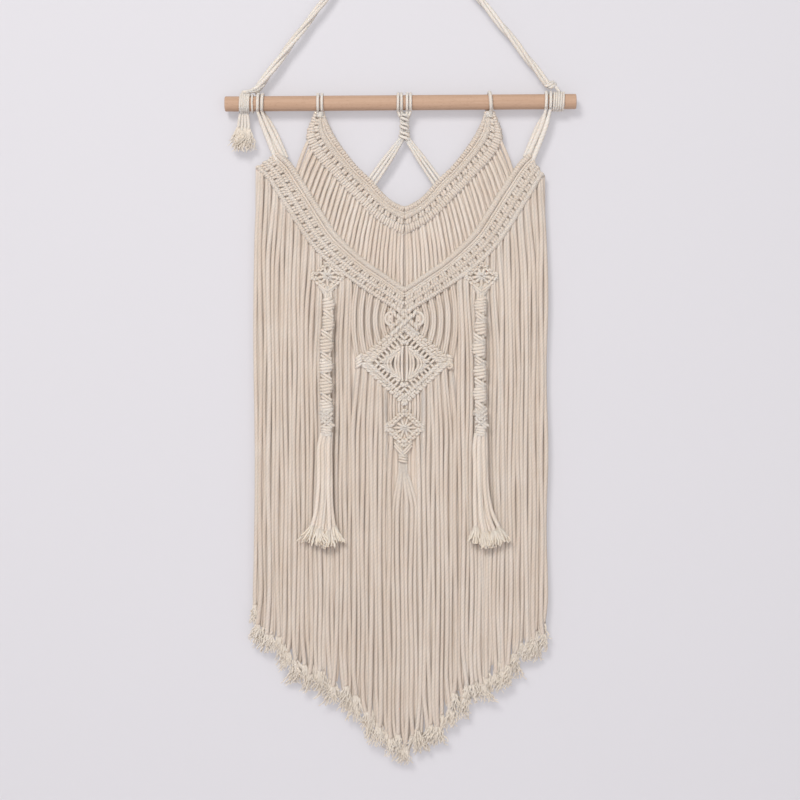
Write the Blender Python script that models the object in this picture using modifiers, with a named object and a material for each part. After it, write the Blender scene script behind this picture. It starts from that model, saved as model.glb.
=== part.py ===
"""Macrame wall hanging: knotted cotton panel with a long fringe, on a beech dowel.

The origin is the point where a wall hook carries the hanging cord. X runs along the
dowel, -Y faces the viewer and +Z is up. All sizes below are millimetres.
"""
import math
import random
from collections import namedtuple

import bmesh
import bpy
from mathutils import Matrix, Vector

MM = 0.001
GAP = 0.3                 # left between pieces that touch on the real hanging

# Places on the cloth: across from its middle line, down from the dowel's axis.
Spot = namedtuple("Spot", "across down")
# A knotted row's ends at one section: its upper edge and its lower edge.
Section = namedtuple("Section", "top_across top_down foot_across foot_down")
# An upright knot or sinnet: where it starts and ends, and its half widths.
Knot = namedtuple("Knot", "start end wide deep")
# One ring of a knot that doesn't run straight down.
Ring = namedtuple("Ring", "x z wide deep")
# A place on the hanging cord, with how thick it is there.
Turn = namedtuple("Turn", "x z thickness")
Tip = namedtuple("Tip", "x z")

DOWEL_LENGTH = 351
DOWEL_RADIUS = 7.5
DOWEL_DROP = 201.2        # from the hook down to the dowel's axis
DOWEL_RISE = 2.5          # how much higher its right end hangs
DOWEL_SIDES = 48
DOWEL_CHAMFER = 0.6

CLOTH_MIDDLE = 4          # the cloth hangs this far right of the dowel's middle
CORD_RADIUS = 1.8
THIN_RADIUS = 1.6         # cords drawn tight over the dowel and into the knots
CREST = 3.7               # half thickness of a knotted row at a hitch
WAIST = 2.6               # and between two hitches
GROOVE = 1.9              # and in the line between two rows
BORDER = 1.5              # and along its edges
KNOT_STEP = 3.2           # between the rings of a sinnet

# Neck: three rows from each peak under the dowel down to the middle.
NECK = [
    Section(80, 10, 91, 10),
    Section(74, 24, 99, 36),
    Section(66, 38, 87, 58),
    Section(56, 52, 73.5, 72),
    Section(45, 65, 61.5, 85),
    Section(33, 76, 49.5, 97),
    Section(22, 89, 34, 113),
    Section(12, 98, 17, 125),
    Section(0, 103.5, 0, 134),
]
NECK_ROWS = (0, 0.24, 0.58, 1)

# Wide V band: four rows from the outer edges down to the middle.
BAND = [
    Section(124.5, 49, 149, 66),
    Section(112.5, 60, 136.7, 79),
    Section(102.5, 75, 128.4, 92),
    Section(91.5, 92, 117, 110),
    Section(81.5, 108, 107, 126),
    Section(69.5, 127, 93.5, 144.5),
    Section(55.5, 142, 76, 162),
    Section(37.5, 158, 54.5, 178.5),
    Section(19.5, 170.5, 28, 196),
    Section(0, 184, 0, 213),
]
BAND_ROWS = (0, 0.26, 0.5, 0.755)     # the rows above the fringe's own backing row
BACKING_ROW = (0.77, 1)

# Diamonds: top, side and bottom corner of half a frame, outer edge then inner edge.
LARGE_DIAMOND = [
    Section(0, 217.5, 0, 229.5),
    Section(51.5, 256, 32, 261),
    Section(0, 305, 0, 291),
]
SMALL_DIAMOND = [
    Section(0, 309, 0, 317),
    Section(22, 326, 12, 326),
    Section(0, 345, 0, 336),
]
SIDE_DIAMOND = [
    Section(0, 163, 0, 170),
    Section(16.5, 178, 8.5, 178),
    Section(0, 195, 0, 186),
]
SIDE_DIAMOND_MIDDLE = 77

# Strands taken up along each edge, a side, counted from the middle out.
UPPER_STRANDS = 23        # from the neck to the V band
NECK_HITCHES = 27
BAND_HITCHES = 25
FRINGE_STRANDS = 32       # from the V band down
LARGE_HITCHES = 10        # along each side of the large diamond
SMALL_HITCHES = 4
SIDE_HITCHES = 3
SIDE_FIRST = 12           # fringe strands nearer the middle than a side diamond
FRINGE_WIDTH = 150        # from the middle to the outermost tip
GATHERED = 0.985          # how much narrower the fringe is at the top than at its tips
STRAND_HALF = 1.6         # half width of a strand's square section
INLAID_HALF = 1.5         # and of the upright cords inside the large diamond
FINE_HALF = 1.2           # and inside the small ones
SETTLING = 14             # how far below its knot a long strand hangs straight
LATE_SETTLING = 26        # and below the small diamond, which gathers its strands
LARGE_BOW = 2.4           # how far the strands above the large diamond bow out
SMALL_BOW = 0.4
FRAY_LENGTH = 14
FRAY_HALF = 1.95
FRAY_FACTOR = 1.25        # how much a round strand opens at its tip
UNEVEN = 4                # how much neighbouring tips differ
TIP_SEED = 7
TASSEL_SEED = 21

# Cut edge of the fringe, from the middle out.
HEM = [
    Spot(0, 658), Spot(12, 653), Spot(20, 646), Spot(30, 642), Spot(40, 628),
    Spot(55, 612), Spot(70, 601), Spot(85, 590), Spot(104, 577), Spot(118, 563),
    Spot(135, 551), Spot(150, 526),
]

SIDE_LOOPS = (141.6, 146)             # loops over the dowel that carry the band
PEAK_LOOPS = (82.4, 86.6)             # and the peaks of the neck
MIDDLE_LOOPS = (1.9, 5.5)             # and the middle sinnet
SIDE_CORD_ENDS = (Spot(120, 53), Spot(130, 58))

MIDDLE_SINNET = Knot(10, 38, 6.2, 4.4)
DIAGONAL_START = Spot(4, 37)
DIAGONAL_END = Spot(35, 78)
DIAGONAL_PITCH = 3.2
DIAGONAL_RADIUS = 1.4
CROSSING = Knot(207.6, 222, 9, 4.2)   # between the V band and the large diamond
SMALL_KNOT = Knot(320, 332, 6.5, 3.8)
SIDE_KNOT = Knot(173, 183, 5, 3.8)
WIDE_KNOT_DOWN = 261                  # across the large diamond's opening
WIDE_KNOT_HALF = Spot(22, 12)         # its half width and half height
WIDE_KNOT_DEEP = 4.4
WIDE_KNOT_RINGS = 9

DROP_MIDDLE = 76.3
DROP_DEPTH = 10.6         # how far a drop hangs in front of the fringe
DROP_ROOT = 196           # its first knot, down from the dowel's axis
DROP_ROOT_DEPTH = 5.1
DROP_ROOT_HALF = 3.3
SPIRAL_START = 207        # where it has its full width
SPIRAL_FOOT = 322
SPIRAL_HALF_TURN = 23
SPIRAL_STEP = 3.8
SPIRAL_WIDE = 7.4         # half widths of the spiral sinnet
SPIRAL_DEEP = 5.2
GATHER = Knot(320, 336, 8.4, 6.2)
TASSEL_FOOT = 444
TASSEL_LAYER = 2.1        # half the distance between its two layers
TASSEL_KNEE = 372         # where its strands have spread this share of the way
TASSEL_KNEE_SHARE = 0.35
TASSEL_ARCH = 3           # how much shorter its outer strands are
TASSEL_STRANDS = 9
TASSEL_TOP = 7            # half width where the strands leave the knot
TASSEL_SPREAD = 20.5      # and at their tips

HANGER_RADIUS = 3.9
HANGER_TWIST = 39         # millimetres for one turn of the hanging cord
HANGER_STEP = 6.5
HANGER_WIDE = 1.1         # its section's two half widths, in radii
HANGER_DEEP = 0.85
# The hanging cord from left foot to right foot, over the hook.
HANGER = [
    Turn(-154, -191.8, 0.55), Turn(-147.5, -188.9, 0.8), Turn(-141, -183.8, 1),
    Turn(-106.5, -138.5, 1), Turn(-75.9, -98.5, 0.98), Turn(-40, -51, 0.95),
    Turn(-9, -9, 0.9), Turn(-0.6, 3.4, 0.85), Turn(8, -9, 0.9),
    Turn(40, -49.5, 0.95), Turn(79.9, -98.5, 0.98), Turn(109.5, -134.5, 1),
    Turn(144, -176.5, 1), Turn(152, -184, 0.9), Turn(157.5, -190, 0.5),
]
LEFT_WRAPS = (-159, -155.6, -152.2)
RIGHT_WRAPS = (156, 159, 162, 165)
TAIL_TIPS = (Tip(-163, -247), Tip(-156, -250), Tip(-149, -246))
TAIL_RADIUS = 1.5
TAIL_FRAY = 1.5
HANGER_KNOT = [
    Ring(146, -179, 3, 3.5), Ring(149, -182, 5.2, 5),
    Ring(152, -184.2, 5.2, 5), Ring(155, -186, 3, 3.5),
]


def place(across, down, depth=0.0, side=1):
    """World position of a spot on the cloth, in metres."""
    return Vector((CLOTH_MIDDLE + side * across, depth, -DOWEL_DROP - down)) * MM


def dowel_height(x):
    """Height of the dowel's axis at x, in millimetres."""
    return -DOWEL_DROP + DOWEL_RISE * x / DOWEL_LENGTH


def clear_scene():
    for old in list(bpy.data.objects):
        bpy.data.objects.remove(old)


def new_collection(name):
    group = bpy.data.collections.new(name)
    bpy.context.scene.collection.children.link(group)
    return group


def new_material(name, colour, roughness):
    material = bpy.data.materials.new(name)
    material.use_nodes = True
    shader = material.node_tree.nodes["Principled BSDF"]
    shader.inputs["Base Color"].default_value = (*colour, 1)
    shader.inputs["Roughness"].default_value = roughness
    shader.inputs["Metallic"].default_value = 0
    return material


def object_from(bm, name):
    """A new object from a bmesh, in flat faces that point out."""
    bmesh.ops.recalc_face_normals(bm, faces=bm.faces)
    bmesh.ops.triangulate(bm, faces=bm.faces)
    mesh = bpy.data.meshes.new(name)
    bm.to_mesh(mesh)
    bm.free()
    piece = bpy.data.objects.new(name, mesh)
    bpy.context.scene.collection.objects.link(piece)
    return piece


def blend(a, b, share):
    return a + (b - a) * share


def smooth_path(spots, steps):
    """Catmull-Rom curve through vectors, with steps stretches between neighbours."""
    ends = [2 * spots[0] - spots[1]] + list(spots) + [2 * spots[-1] - spots[-2]]
    path = []
    for a, b, c, d in zip(ends, ends[1:], ends[2:], ends[3:]):
        for step in range(steps):
            t = step / steps
            path.append(
                0.5 * (2 * b + (c - a) * t + (2 * a - 5 * b + 4 * c - d) * t * t
                       + (3 * b - a - 3 * c + d) * t ** 3)
            )
    return path + [spots[-1].copy()]


def smooth_sections(sections):
    return smooth_path([Vector(section) for section in sections], 3)


def straight_sections(sections):
    return [Vector(section) for section in sections]


def flipped(path):
    """A path of sections on the other side of the middle, run the other way."""
    return [Vector((-v[0], v[1], -v[2], v[3])) for v in reversed(path)]


def knotted_rows(bm, stretches, rows, closed=False, middle=0.0):
    """Relief of knotted rows, with a place for a strand at each hitch of its edges.

    Each stretch is a path of sections and its number of hitches. Returns the places
    along the upper and lower edge, a list for each stretch.
    """
    shares = [rows[0]]
    for low, high in zip(rows, rows[1:]):
        shares += [(low + high) / 2, high]
    columns, thickness = [], []
    for path, hitches in stretches:
        columns.append(path[0])
        thickness.append(WAIST)
        for hitch in range(hitches):
            columns.append(along(path, (hitch + 0.25) / hitches))
            columns.append(along(path, (hitch + 0.75) / hitches))
            thickness += [CREST, WAIST]
    if not closed:
        columns.append(stretches[-1][0][-1])
        thickness.append(WAIST)
    lines = []
    for column, thick in zip(columns, thickness):
        front = []
        for k, share in enumerate(shares):
            depth = thick if k % 2 else GROOVE
            if k in (0, len(shares) - 1):
                depth = BORDER
            front.append(bm.verts.new(section_spot(column, share, middle, -depth)))
        centre = (rows[0] + rows[-1]) / 2
        back = [
            bm.verts.new(section_spot(column, share, middle, depth))
            for share, depth in ((rows[0], BORDER), (centre, thick), (rows[-1], BORDER))
        ]
        lines.append((front, back))
    following = lines[1:] + lines[:1] if closed else lines[1:]
    upper, lower = [], []
    for (front, back), (front_next, back_next) in zip(lines, following):
        for near, far in ((front, front_next), (back, back_next)):
            for k in range(len(near) - 1):
                bm.faces.new((near[k], near[k + 1], far[k + 1], far[k]))
        upper.append((front[0], front_next[0], back_next[0], back[0]))
        lower.append((front[-1], front_next[-1], back_next[-1], back[-1]))
    if not closed:
        for front, back in (lines[0], lines[-1]):
            bm.faces.new(front + back[::-1])
    return split_places(bm, upper, stretches), split_places(bm, lower, stretches)


def split_places(bm, walls, stretches):
    """Closes an edge between its hitches and lists the open places at them."""
    places = []
    start = 0
    for path, hitches in stretches:
        for gap in range(start, start + 2 * hitches + 1, 2):
            bm.faces.new(walls[gap])
        places.append([from_left(walls[start + 2 * k + 1]) for k in range(hitches)])
        start += 2 * hitches + 1
    return places


def from_left(place_verts):
    """A place's corners in the order front left, front right, back right, back left."""
    a, b, c, d = place_verts
    return (a, b, c, d) if a.co.x < b.co.x else (b, a, d, c)


def section_spot(column, share, middle, depth):
    return place(middle + blend(column[0], column[2], share),
                 blend(column[1], column[3], share), depth)


def strand(bm, start, guides, end=None):
    """A square strand from a knotted place through guides of (centre, half width)."""
    rings = [start]
    origin = sum((corner.co for corner in start), Vector()) / 4
    centres = [origin] + [centre for centre, half in guides]
    if end:
        centres.append(sum((corner.co for corner in end), Vector()) / 4)
    for k, (centre, half) in enumerate(guides, 1):
        ahead = centres[min(k + 1, len(centres) - 1)] - centres[k - 1]
        ahead.normalize()
        right = Vector((0, 1, 0)).cross(ahead).normalized()
        if right.x < 0:
            right = -right
        forward = Vector((0, -1, 0))
        rings.append([
            bm.verts.new(centre + (right * u + forward * v) * half * MM)
            for u, v in ((-1, 1), (1, 1), (1, -1), (-1, -1))
        ])
    if end:
        rings.append(end)
    for near, far in zip(rings, rings[1:]):
        for k in range(4):
            bm.faces.new((near[k], near[(k + 1) % 4], far[(k + 1) % 4], far[k]))
    if not end:
        bm.faces.new(rings[-1])


def close(bm, places):
    """Closes places along a knotted edge that take no strand."""
    for corners in places:
        bm.faces.new(corners)


def strands(runs, radius, name):
    """Four-sided tubes along runs of (position, radius factor), as one object."""
    curve = bpy.data.curves.new(name, "CURVE")
    curve.dimensions = "3D"
    curve.bevel_depth = radius * MM
    curve.bevel_resolution = 0
    curve.use_fill_caps = True
    curve.twist_mode = "MINIMUM"
    for run in runs:
        spline = curve.splines.new("POLY")
        spline.points.add(len(run) - 1)
        for point, (position, factor) in zip(spline.points, run):
            point.co = (*position, 1)
            point.radius = factor
    tube = bpy.data.objects.new(name, curve)
    bpy.context.scene.collection.objects.link(tube)
    shape = evaluated_mesh(tube)
    bpy.data.objects.remove(tube)
    bm = bmesh.new()
    bm.from_mesh(shape)
    bmesh.ops.remove_doubles(bm, verts=bm.verts, dist=0.01 * MM)
    return object_from(bm, name)


def evaluated_mesh(piece):
    graph = bpy.context.evaluated_depsgraph_get()
    graph.update()
    return bpy.data.meshes.new_from_object(piece.evaluated_get(graph))


def knotted_tube(path, wide, deep, name, sides=8, ridge=0.0, turn=0.0):
    """Loft along a path in the XZ plane: half widths listed a ring, ridged, twisted."""
    bm = bmesh.new()
    rings = []
    for k, centre in enumerate(path):
        ahead = path[min(k + 1, len(path) - 1)] - path[max(k - 1, 0)]
        ahead.normalize()
        out = Vector((0, -1, 0))
        beside = ahead.cross(out).normalized()
        swell = 1 + (ridge if k % 2 else -ridge)
        ring = []
        for corner in range(sides):
            angle = math.tau * (corner + 0.5) / sides
            u = wide[k] * swell * math.cos(angle) * MM
            v = deep[k] * swell * math.sin(angle) * MM
            spin = turn * k
            ring.append(bm.verts.new(
                centre
                + beside * (u * math.cos(spin) - v * math.sin(spin))
                + out * (u * math.sin(spin) + v * math.cos(spin))
            ))
        rings.append(ring)
    for ring, after in zip(rings, rings[1:]):
        for corner in range(sides):
            following = (corner + 1) % sides
            bm.faces.new((ring[corner], ring[following], after[following], after[corner]))
    bm.faces.new(rings[0])
    bm.faces.new(rings[-1])
    return object_from(bm, name)


def evenly(start, end, count):
    return [blend(start, end, k / (count - 1)) for k in range(count)]


def dowel_loop(x, radius, name):
    """One turn of cord round the dowel at x, clear of it by the gap."""
    sides = 8
    inner = (DOWEL_RADIUS + GAP) / math.cos(math.pi / sides)
    bpy.ops.mesh.primitive_torus_add(
        major_segments=sides, minor_segments=4,
        major_radius=(inner + radius) * MM, minor_radius=radius * MM,
        location=(x * MM, 0, dowel_height(x) * MM),
        rotation=(0, math.radians(90), 0),
    )
    loop = bpy.context.object
    loop.name = name
    loop.data.transform(loop.matrix_world)
    loop.matrix_world = Matrix()
    return loop


def fuse(pieces, name, material, group):
    """One solid from closed pieces that overlap, in flat faces after each union."""
    body = pieces[0]
    for piece in pieces[1:]:
        union = body.modifiers.new("fuse", "BOOLEAN")
        union.operation = "UNION"
        union.solver = "EXACT"
        union.object = piece
        bm = bmesh.new()
        bm.from_mesh(evaluated_mesh(body))
        bmesh.ops.triangulate(bm, faces=bm.faces)
        body.modifiers.remove(union)
        bm.to_mesh(body.data)
        bm.free()
        bpy.data.objects.remove(piece)
    shape = body.data
    bpy.data.objects.remove(body)
    shape.name = name
    shape.materials.clear()
    shape.materials.append(material)
    shape.shade_smooth()
    shape.set_sharp_from_angle(angle=math.radians(40))
    solid = bpy.data.objects.new(name, shape)
    group.objects.link(solid)
    return solid


def joined(pieces, name):
    """Pieces that don't meet, as one object, so that one union takes them all."""
    bm = bmesh.new()
    for piece in pieces:
        bm.from_mesh(piece.data)
        bpy.data.objects.remove(piece)
    return object_from(bm, name)


def build_dowel(material, group):
    bpy.ops.mesh.primitive_cylinder_add(
        vertices=DOWEL_SIDES, radius=DOWEL_RADIUS * MM, depth=DOWEL_LENGTH * MM,
        location=(0, 0, dowel_height(0) * MM),
        rotation=(0, math.radians(90) - math.atan(DOWEL_RISE / DOWEL_LENGTH), 0),
    )
    dowel = bpy.context.object
    dowel.name = "dowel"
    dowel.data.materials.append(material)
    chamfer = dowel.modifiers.new("chamfer", "BEVEL")
    chamfer.width = DOWEL_CHAMFER * MM
    chamfer.segments = 1
    chamfer.limit_method = "ANGLE"
    chamfer.angle_limit = math.radians(60)
    dowel.data.shade_smooth()
    dowel.data.set_sharp_from_angle(angle=math.radians(40))
    for home in list(dowel.users_collection):
        home.objects.unlink(dowel)
    group.objects.link(dowel)
    return dowel


def along(path, share):
    """The point at a share of a path's length."""
    lengths = [(b - a).length for a, b in zip(path, path[1:])]
    left = share * sum(lengths)
    for a, b, length in zip(path, path[1:], lengths):
        if left <= length:
            return a.lerp(b, left / length)
        left -= length
    return path[-1].copy()


def down_at(spots, across):
    """How far down a line of spots lies at a distance across."""
    spots = sorted(spots)
    for a, b in zip(spots, spots[1:]):
        if across <= b[0]:
            return blend(a[1], b[1], (across - a[0]) / (b[0] - a[0]))
    return spots[-1][1]


def under_dowel(across, side):
    """Inside the lowest part of a loop round the dowel."""
    x = CLOTH_MIDDLE + side * across
    return Vector((x, 0, dowel_height(x) - DOWEL_RADIUS - GAP - THIN_RADIUS)) * MM


def side_cords(side):
    """The pair that carries the band's end from its loops over the dowel."""
    return [
        [(under_dowel(across, side), 1), (place(*end, 0, side), 1)]
        for across, end in zip(SIDE_LOOPS, SIDE_CORD_ENDS)
    ]


def diagonals(side):
    """Three cords from the middle sinnet to the neck."""
    start = place(*DIAGONAL_START, 0, side)
    end = place(*DIAGONAL_END, 0, side)
    beside = (end - start).cross(Vector((0, 1, 0))).normalized() * DIAGONAL_PITCH * MM
    return [[(start + beside * k, 1), (end + beside * k, 1)] for k in (-1, 0, 1)]


def upright_knot(across, knot, name, depth=0.0):
    """An upright knot or sinnet, narrower at its ends."""
    count = 2 * round((knot.end - knot.start) / KNOT_STEP / 2) + 1
    path = [place(across, down, -depth) for down in evenly(knot.start, knot.end, count)]
    swell = [0.8] + [1] * (count - 2) + [0.8]
    return knotted_tube(path, [knot.wide * k for k in swell],
                        [knot.deep * k for k in swell], name, ridge=0.07)


def wide_knot():
    """The knot that lies across the large diamond's opening, oval seen from the front."""
    path, wide, deep = [], [], []
    for share in evenly(-1, 1, WIDE_KNOT_RINGS):
        path.append(place(WIDE_KNOT_HALF.across * share, WIDE_KNOT_DOWN))
        wide.append(WIDE_KNOT_HALF.down * (1 - 0.6 * share ** 2))
        deep.append(WIDE_KNOT_DEEP * (1 - 0.3 * share ** 2))
    return knotted_tube(path, wide, deep, "wide knot", ridge=0.05)


def centre_of(corners):
    return sum((corner.co for corner in corners), Vector()) / 4


def both_halves(path, hitches):
    """Stretches of a band: right half from its outer end, then left half."""
    return [(path, hitches), (flipped(path), hitches)]


def from_middle(places):
    """A band's places, listed for each half from the middle out."""
    right, left = places
    return [right[::-1], left]


def build_panel(material, group):
    """Everything above the fringe's backing row, fused."""
    bm = bmesh.new()
    neck_top, neck_foot = knotted_rows(
        bm, both_halves(smooth_sections(NECK), NECK_HITCHES), NECK_ROWS)
    band_top, band_foot = knotted_rows(
        bm, both_halves(smooth_sections(BAND), BAND_HITCHES), BAND_ROWS)
    for above, below in zip(from_middle(neck_foot), from_middle(band_top)):
        for start, end in list(zip(above, below))[:UPPER_STRANDS]:
            belly = centre_of(start).lerp(centre_of(end), 0.45)
            strand(bm, start, [(belly, STRAND_HALF)], end)
        close(bm, above[UPPER_STRANDS:])
        close(bm, below[UPPER_STRANDS:])
    for places in neck_top + band_foot:
        close(bm, places)
    cloth = object_from(bm, "cloth")
    loops = [
        dowel_loop(CLOTH_MIDDLE + side * across, THIN_RADIUS, "loop")
        for side in (-1, 1)
        for across in SIDE_LOOPS + PEAK_LOOPS + MIDDLE_LOOPS
    ]
    cords = strands(side_cords(-1) + side_cords(1), CORD_RADIUS, "side cords")
    sinnet = upright_knot(0, MIDDLE_SINNET, "sinnet")
    ties = [strands(diagonals(side), DIAGONAL_RADIUS, "ties") for side in (-1, 1)]
    pieces = [joined(loops, "loops"), sinnet, cords] + ties + [cloth]
    return fuse(pieces, "knotted_panel", material, group)


def diamond(bm, corners, rows, hitches, middle=0.0):
    """A diamond's frame. Returns the places outside and inside it, a side each:
    upper right, upper left, lower right and lower left, all from the middle out."""
    upper = straight_sections(corners[:2])
    lower = straight_sections(corners[1:])
    stretches = [(upper, hitches), (lower, hitches),
                 (flipped(lower), hitches), (flipped(upper), hitches)]
    edges = knotted_rows(bm, stretches, rows, closed=True, middle=middle)
    return [(a, d[::-1], b[::-1], c) for a, b, c, d in edges]


def hang(bm, start, across, side, random_gen, settling=SETTLING):
    """One long strand from its knotted place down to its frayed tip."""
    tip = down_at(HEM, across) + random_gen.uniform(-UNEVEN, UNEVEN)
    top = centre_of(start)
    settled = place(across * GATHERED, 0, 0, side)
    first = Vector(((top.x + settled.x) / 2, 0, top.z - settling * MM))
    strand(bm, start, [
        (first, STRAND_HALF),
        (place(across, tip - FRAY_LENGTH, 0, side), STRAND_HALF),
        (place(across, tip, 0, side), FRAY_HALF),
    ])


def bow_between(bm, start, end, bow, side):
    """A short strand that bows outwards between two knotted places."""
    top, foot = centre_of(start), centre_of(end)
    out = Vector((side * bow, 0, 0)) * MM
    strand(bm, start, [(top.lerp(foot, 0.5) + out, STRAND_HALF)], end)


def hang_side(bm, side, half, backing, large, small, beside, random_gen):
    """The strands of one half: half is 0 on the right and 1 on the left."""
    pitch = FRINGE_WIDTH / FRINGE_STRANDS
    tops = backing[half]
    large_up, large_down = large[half], large[half + 2]
    small_up, small_down = small[half], small[half + 2]
    for k in range(LARGE_HITCHES):
        bow = LARGE_BOW * (1 - k / LARGE_HITCHES)
        bow_between(bm, tops[k], large_up[k], bow, side)
        across = (k + 0.5) * pitch
        if k < SMALL_HITCHES:
            bow_between(bm, large_down[k], small_up[k], SMALL_BOW, side)
            hang(bm, small_down[k], across, side, random_gen, LATE_SETTLING)
        else:
            hang(bm, large_down[k], across, side, random_gen)
    # A side diamond's own inner and outer sides, from the middle of the cloth out.
    inward, outward = (1 - half), half
    above = beside[inward][::-1] + beside[outward]
    below = beside[inward + 2][::-1] + beside[outward + 2]
    taken = range(SIDE_FIRST, SIDE_FIRST + len(above))
    for k in range(LARGE_HITCHES, FRINGE_STRANDS):
        start = tops[k]
        if k in taken:
            strand(bm, start, [], above[k - SIDE_FIRST])
            start = below[k - SIDE_FIRST]
        hang(bm, start, (k + 0.5) * pitch, side, random_gen)


def across_frame(bm, upper, lower, half_width):
    """Upright cords across a diamond's opening, at every other place."""
    for k, (start, end) in enumerate(zip(upper, lower)):
        if k % 2:
            middle = centre_of(start).lerp(centre_of(end), 0.5)
            strand(bm, start, [(middle, half_width)], end)
        else:
            close(bm, (start, end))


def build_fringe(material, group):
    """The V band's lowest row as backing, the diamonds and the long strands."""
    random_gen = random.Random(TIP_SEED)
    bm = bmesh.new()
    backing_top, backing_foot = knotted_rows(
        bm, both_halves(smooth_sections(BAND), FRINGE_STRANDS), BACKING_ROW)
    for places in backing_top:
        close(bm, places)
    large, large_inside = diamond(bm, LARGE_DIAMOND, (0, 0.5, 1), LARGE_HITCHES)
    small, small_inside = diamond(bm, SMALL_DIAMOND, (0, 1), SMALL_HITCHES)
    sides = [diamond(bm, SIDE_DIAMOND, (0, 1), SIDE_HITCHES, side * SIDE_DIAMOND_MIDDLE)
             for side in (1, -1)]
    for half, side in enumerate((1, -1)):
        hang_side(bm, side, half, from_middle(backing_foot), large, small,
                  sides[half][0], random_gen)
        across_frame(bm, large_inside[half], large_inside[half + 2], INLAID_HALF)
        across_frame(bm, small_inside[half], small_inside[half + 2], FINE_HALF)
        inside = sides[half][1]
        for own in (0, 1):
            across_frame(bm, inside[own], inside[own + 2], FINE_HALF)
    cloth = object_from(bm, "cloth")
    knots = [wide_knot(), upright_knot(0, CROSSING, "crossing"),
             upright_knot(0, SMALL_KNOT, "small knot")]
    for side in (-1, 1):
        knots.append(upright_knot(side * SIDE_DIAMOND_MIDDLE, SIDE_KNOT, "side knot"))
    return fuse([cloth, joined(knots, "knots")], "fringe", material, group)


def spiral_sinnet(across, side):
    """The twisted sinnet of a drop, thin where it leaves the fringe."""
    count = 2 * round((SPIRAL_FOOT - DROP_ROOT) / SPIRAL_STEP / 2) + 1
    path, wide, deep = [], [], []
    for down in evenly(DROP_ROOT, SPIRAL_FOOT, count):
        share = min(1, (down - DROP_ROOT) / (SPIRAL_START - DROP_ROOT))
        path.append(place(across, down, -blend(DROP_ROOT_DEPTH, DROP_DEPTH, share)))
        wide.append(blend(DROP_ROOT_HALF, SPIRAL_WIDE, share))
        deep.append(blend(DROP_ROOT_HALF, SPIRAL_DEEP, share))
    step = (SPIRAL_FOOT - DROP_ROOT) / (count - 1)
    return knotted_tube(path, wide, deep, "spiral", sides=6, ridge=0.06,
                        turn=side * math.pi * step / SPIRAL_HALF_TURN)


def tassel_runs(across):
    """The strands of a drop's tassel, in two layers that spread downwards."""
    random_gen = random.Random(TASSEL_SEED)
    knee_spread = blend(TASSEL_TOP, TASSEL_SPREAD, TASSEL_KNEE_SHARE)
    runs = []
    for k in range(TASSEL_STRANDS):
        lean = 2 * k / (TASSEL_STRANDS - 1) - 1
        depth = -DROP_DEPTH + (TASSEL_LAYER if k % 2 else -TASSEL_LAYER)
        tip = TASSEL_FOOT + random_gen.uniform(-UNEVEN, UNEVEN) - TASSEL_ARCH * lean ** 2
        top = (GATHER.start + GATHER.end) / 2
        foot = across + lean * TASSEL_SPREAD
        runs.append([
            (place(across + lean * TASSEL_TOP, top, depth), 1),
            (place(across + lean * knee_spread, TASSEL_KNEE, depth), 1),
            (place(foot, tip - FRAY_LENGTH, depth), 1),
            (place(foot, tip, depth), FRAY_FACTOR),
        ])
    return runs


def build_drop(side, name, material, group):
    """Spiral sinnet, gathering knot and tassel, in front of the fringe."""
    across = side * DROP_MIDDLE
    spiral = spiral_sinnet(across, side)
    gather = upright_knot(across, GATHER, "gather", DROP_DEPTH)
    tassel = strands(tassel_runs(across), THIN_RADIUS, "tassel")
    return fuse([spiral, gather, tassel], name, material, group)


def hanger_rope():
    """The twisted cord over the hook."""
    guide = smooth_path([Vector(turn) for turn in HANGER], 6)
    length = sum((b - a).xy.length for a, b in zip(guide, guide[1:]))
    count = round(length / HANGER_STEP)
    spots = [along(guide, k / count) for k in range(count + 1)]
    path = [Vector((spot.x, 0, spot.y)) * MM for spot in spots]
    wide = [HANGER_RADIUS * HANGER_WIDE * spot.z for spot in spots]
    deep = [HANGER_RADIUS * HANGER_DEEP * spot.z for spot in spots]
    return knotted_tube(path, wide, deep, "rope", sides=6,
                        turn=math.tau * HANGER_STEP / HANGER_TWIST)


def tail_runs():
    """The hanging cord's frayed ends below its left wraps."""
    runs = []
    for x, tip in zip(LEFT_WRAPS, TAIL_TIPS):
        root = dowel_height(x) - DOWEL_RADIUS - GAP - CORD_RADIUS
        runs.append([
            (Vector((x, 0, root)) * MM, 1),
            (Vector((tip.x, 0, tip.z + FRAY_LENGTH)) * MM, 1),
            (Vector((tip.x, 0, tip.z)) * MM, TAIL_FRAY),
        ])
    return runs


def build_hanger(material, group):
    """The cord over the hook, wrapped and knotted at the dowel."""
    wraps = [dowel_loop(x, CORD_RADIUS, "wrap") for x in LEFT_WRAPS]
    wraps += [dowel_loop(x, THIN_RADIUS, "wrap") for x in RIGHT_WRAPS]
    path = [Vector((ring.x, 0, ring.z)) * MM for ring in HANGER_KNOT]
    knot = knotted_tube(path, [ring.wide for ring in HANGER_KNOT],
                        [ring.deep for ring in HANGER_KNOT], "knot", ridge=0.05)
    tail = strands(tail_runs(), TAIL_RADIUS, "tail")
    pieces = [hanger_rope(), knot, joined(wraps[::2], "wraps"),
              joined(wraps[1::2], "wraps"), tail]
    return fuse(pieces, "hanger", material, group)


def main():
    clear_scene()
    group = new_collection("macrame_wall_hanging")
    cotton = new_material("natural cotton cord", (0.66, 0.56, 0.47), 0.95)
    beech = new_material("oiled beech", (0.56, 0.36, 0.25), 0.6)
    build_dowel(beech, group)
    build_hanger(cotton, group)
    build_panel(cotton, group)
    build_fringe(cotton, group)
    build_drop(-1, "drop_left", cotton, group)
    build_drop(1, "drop_right", cotton, group)


main()
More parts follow.
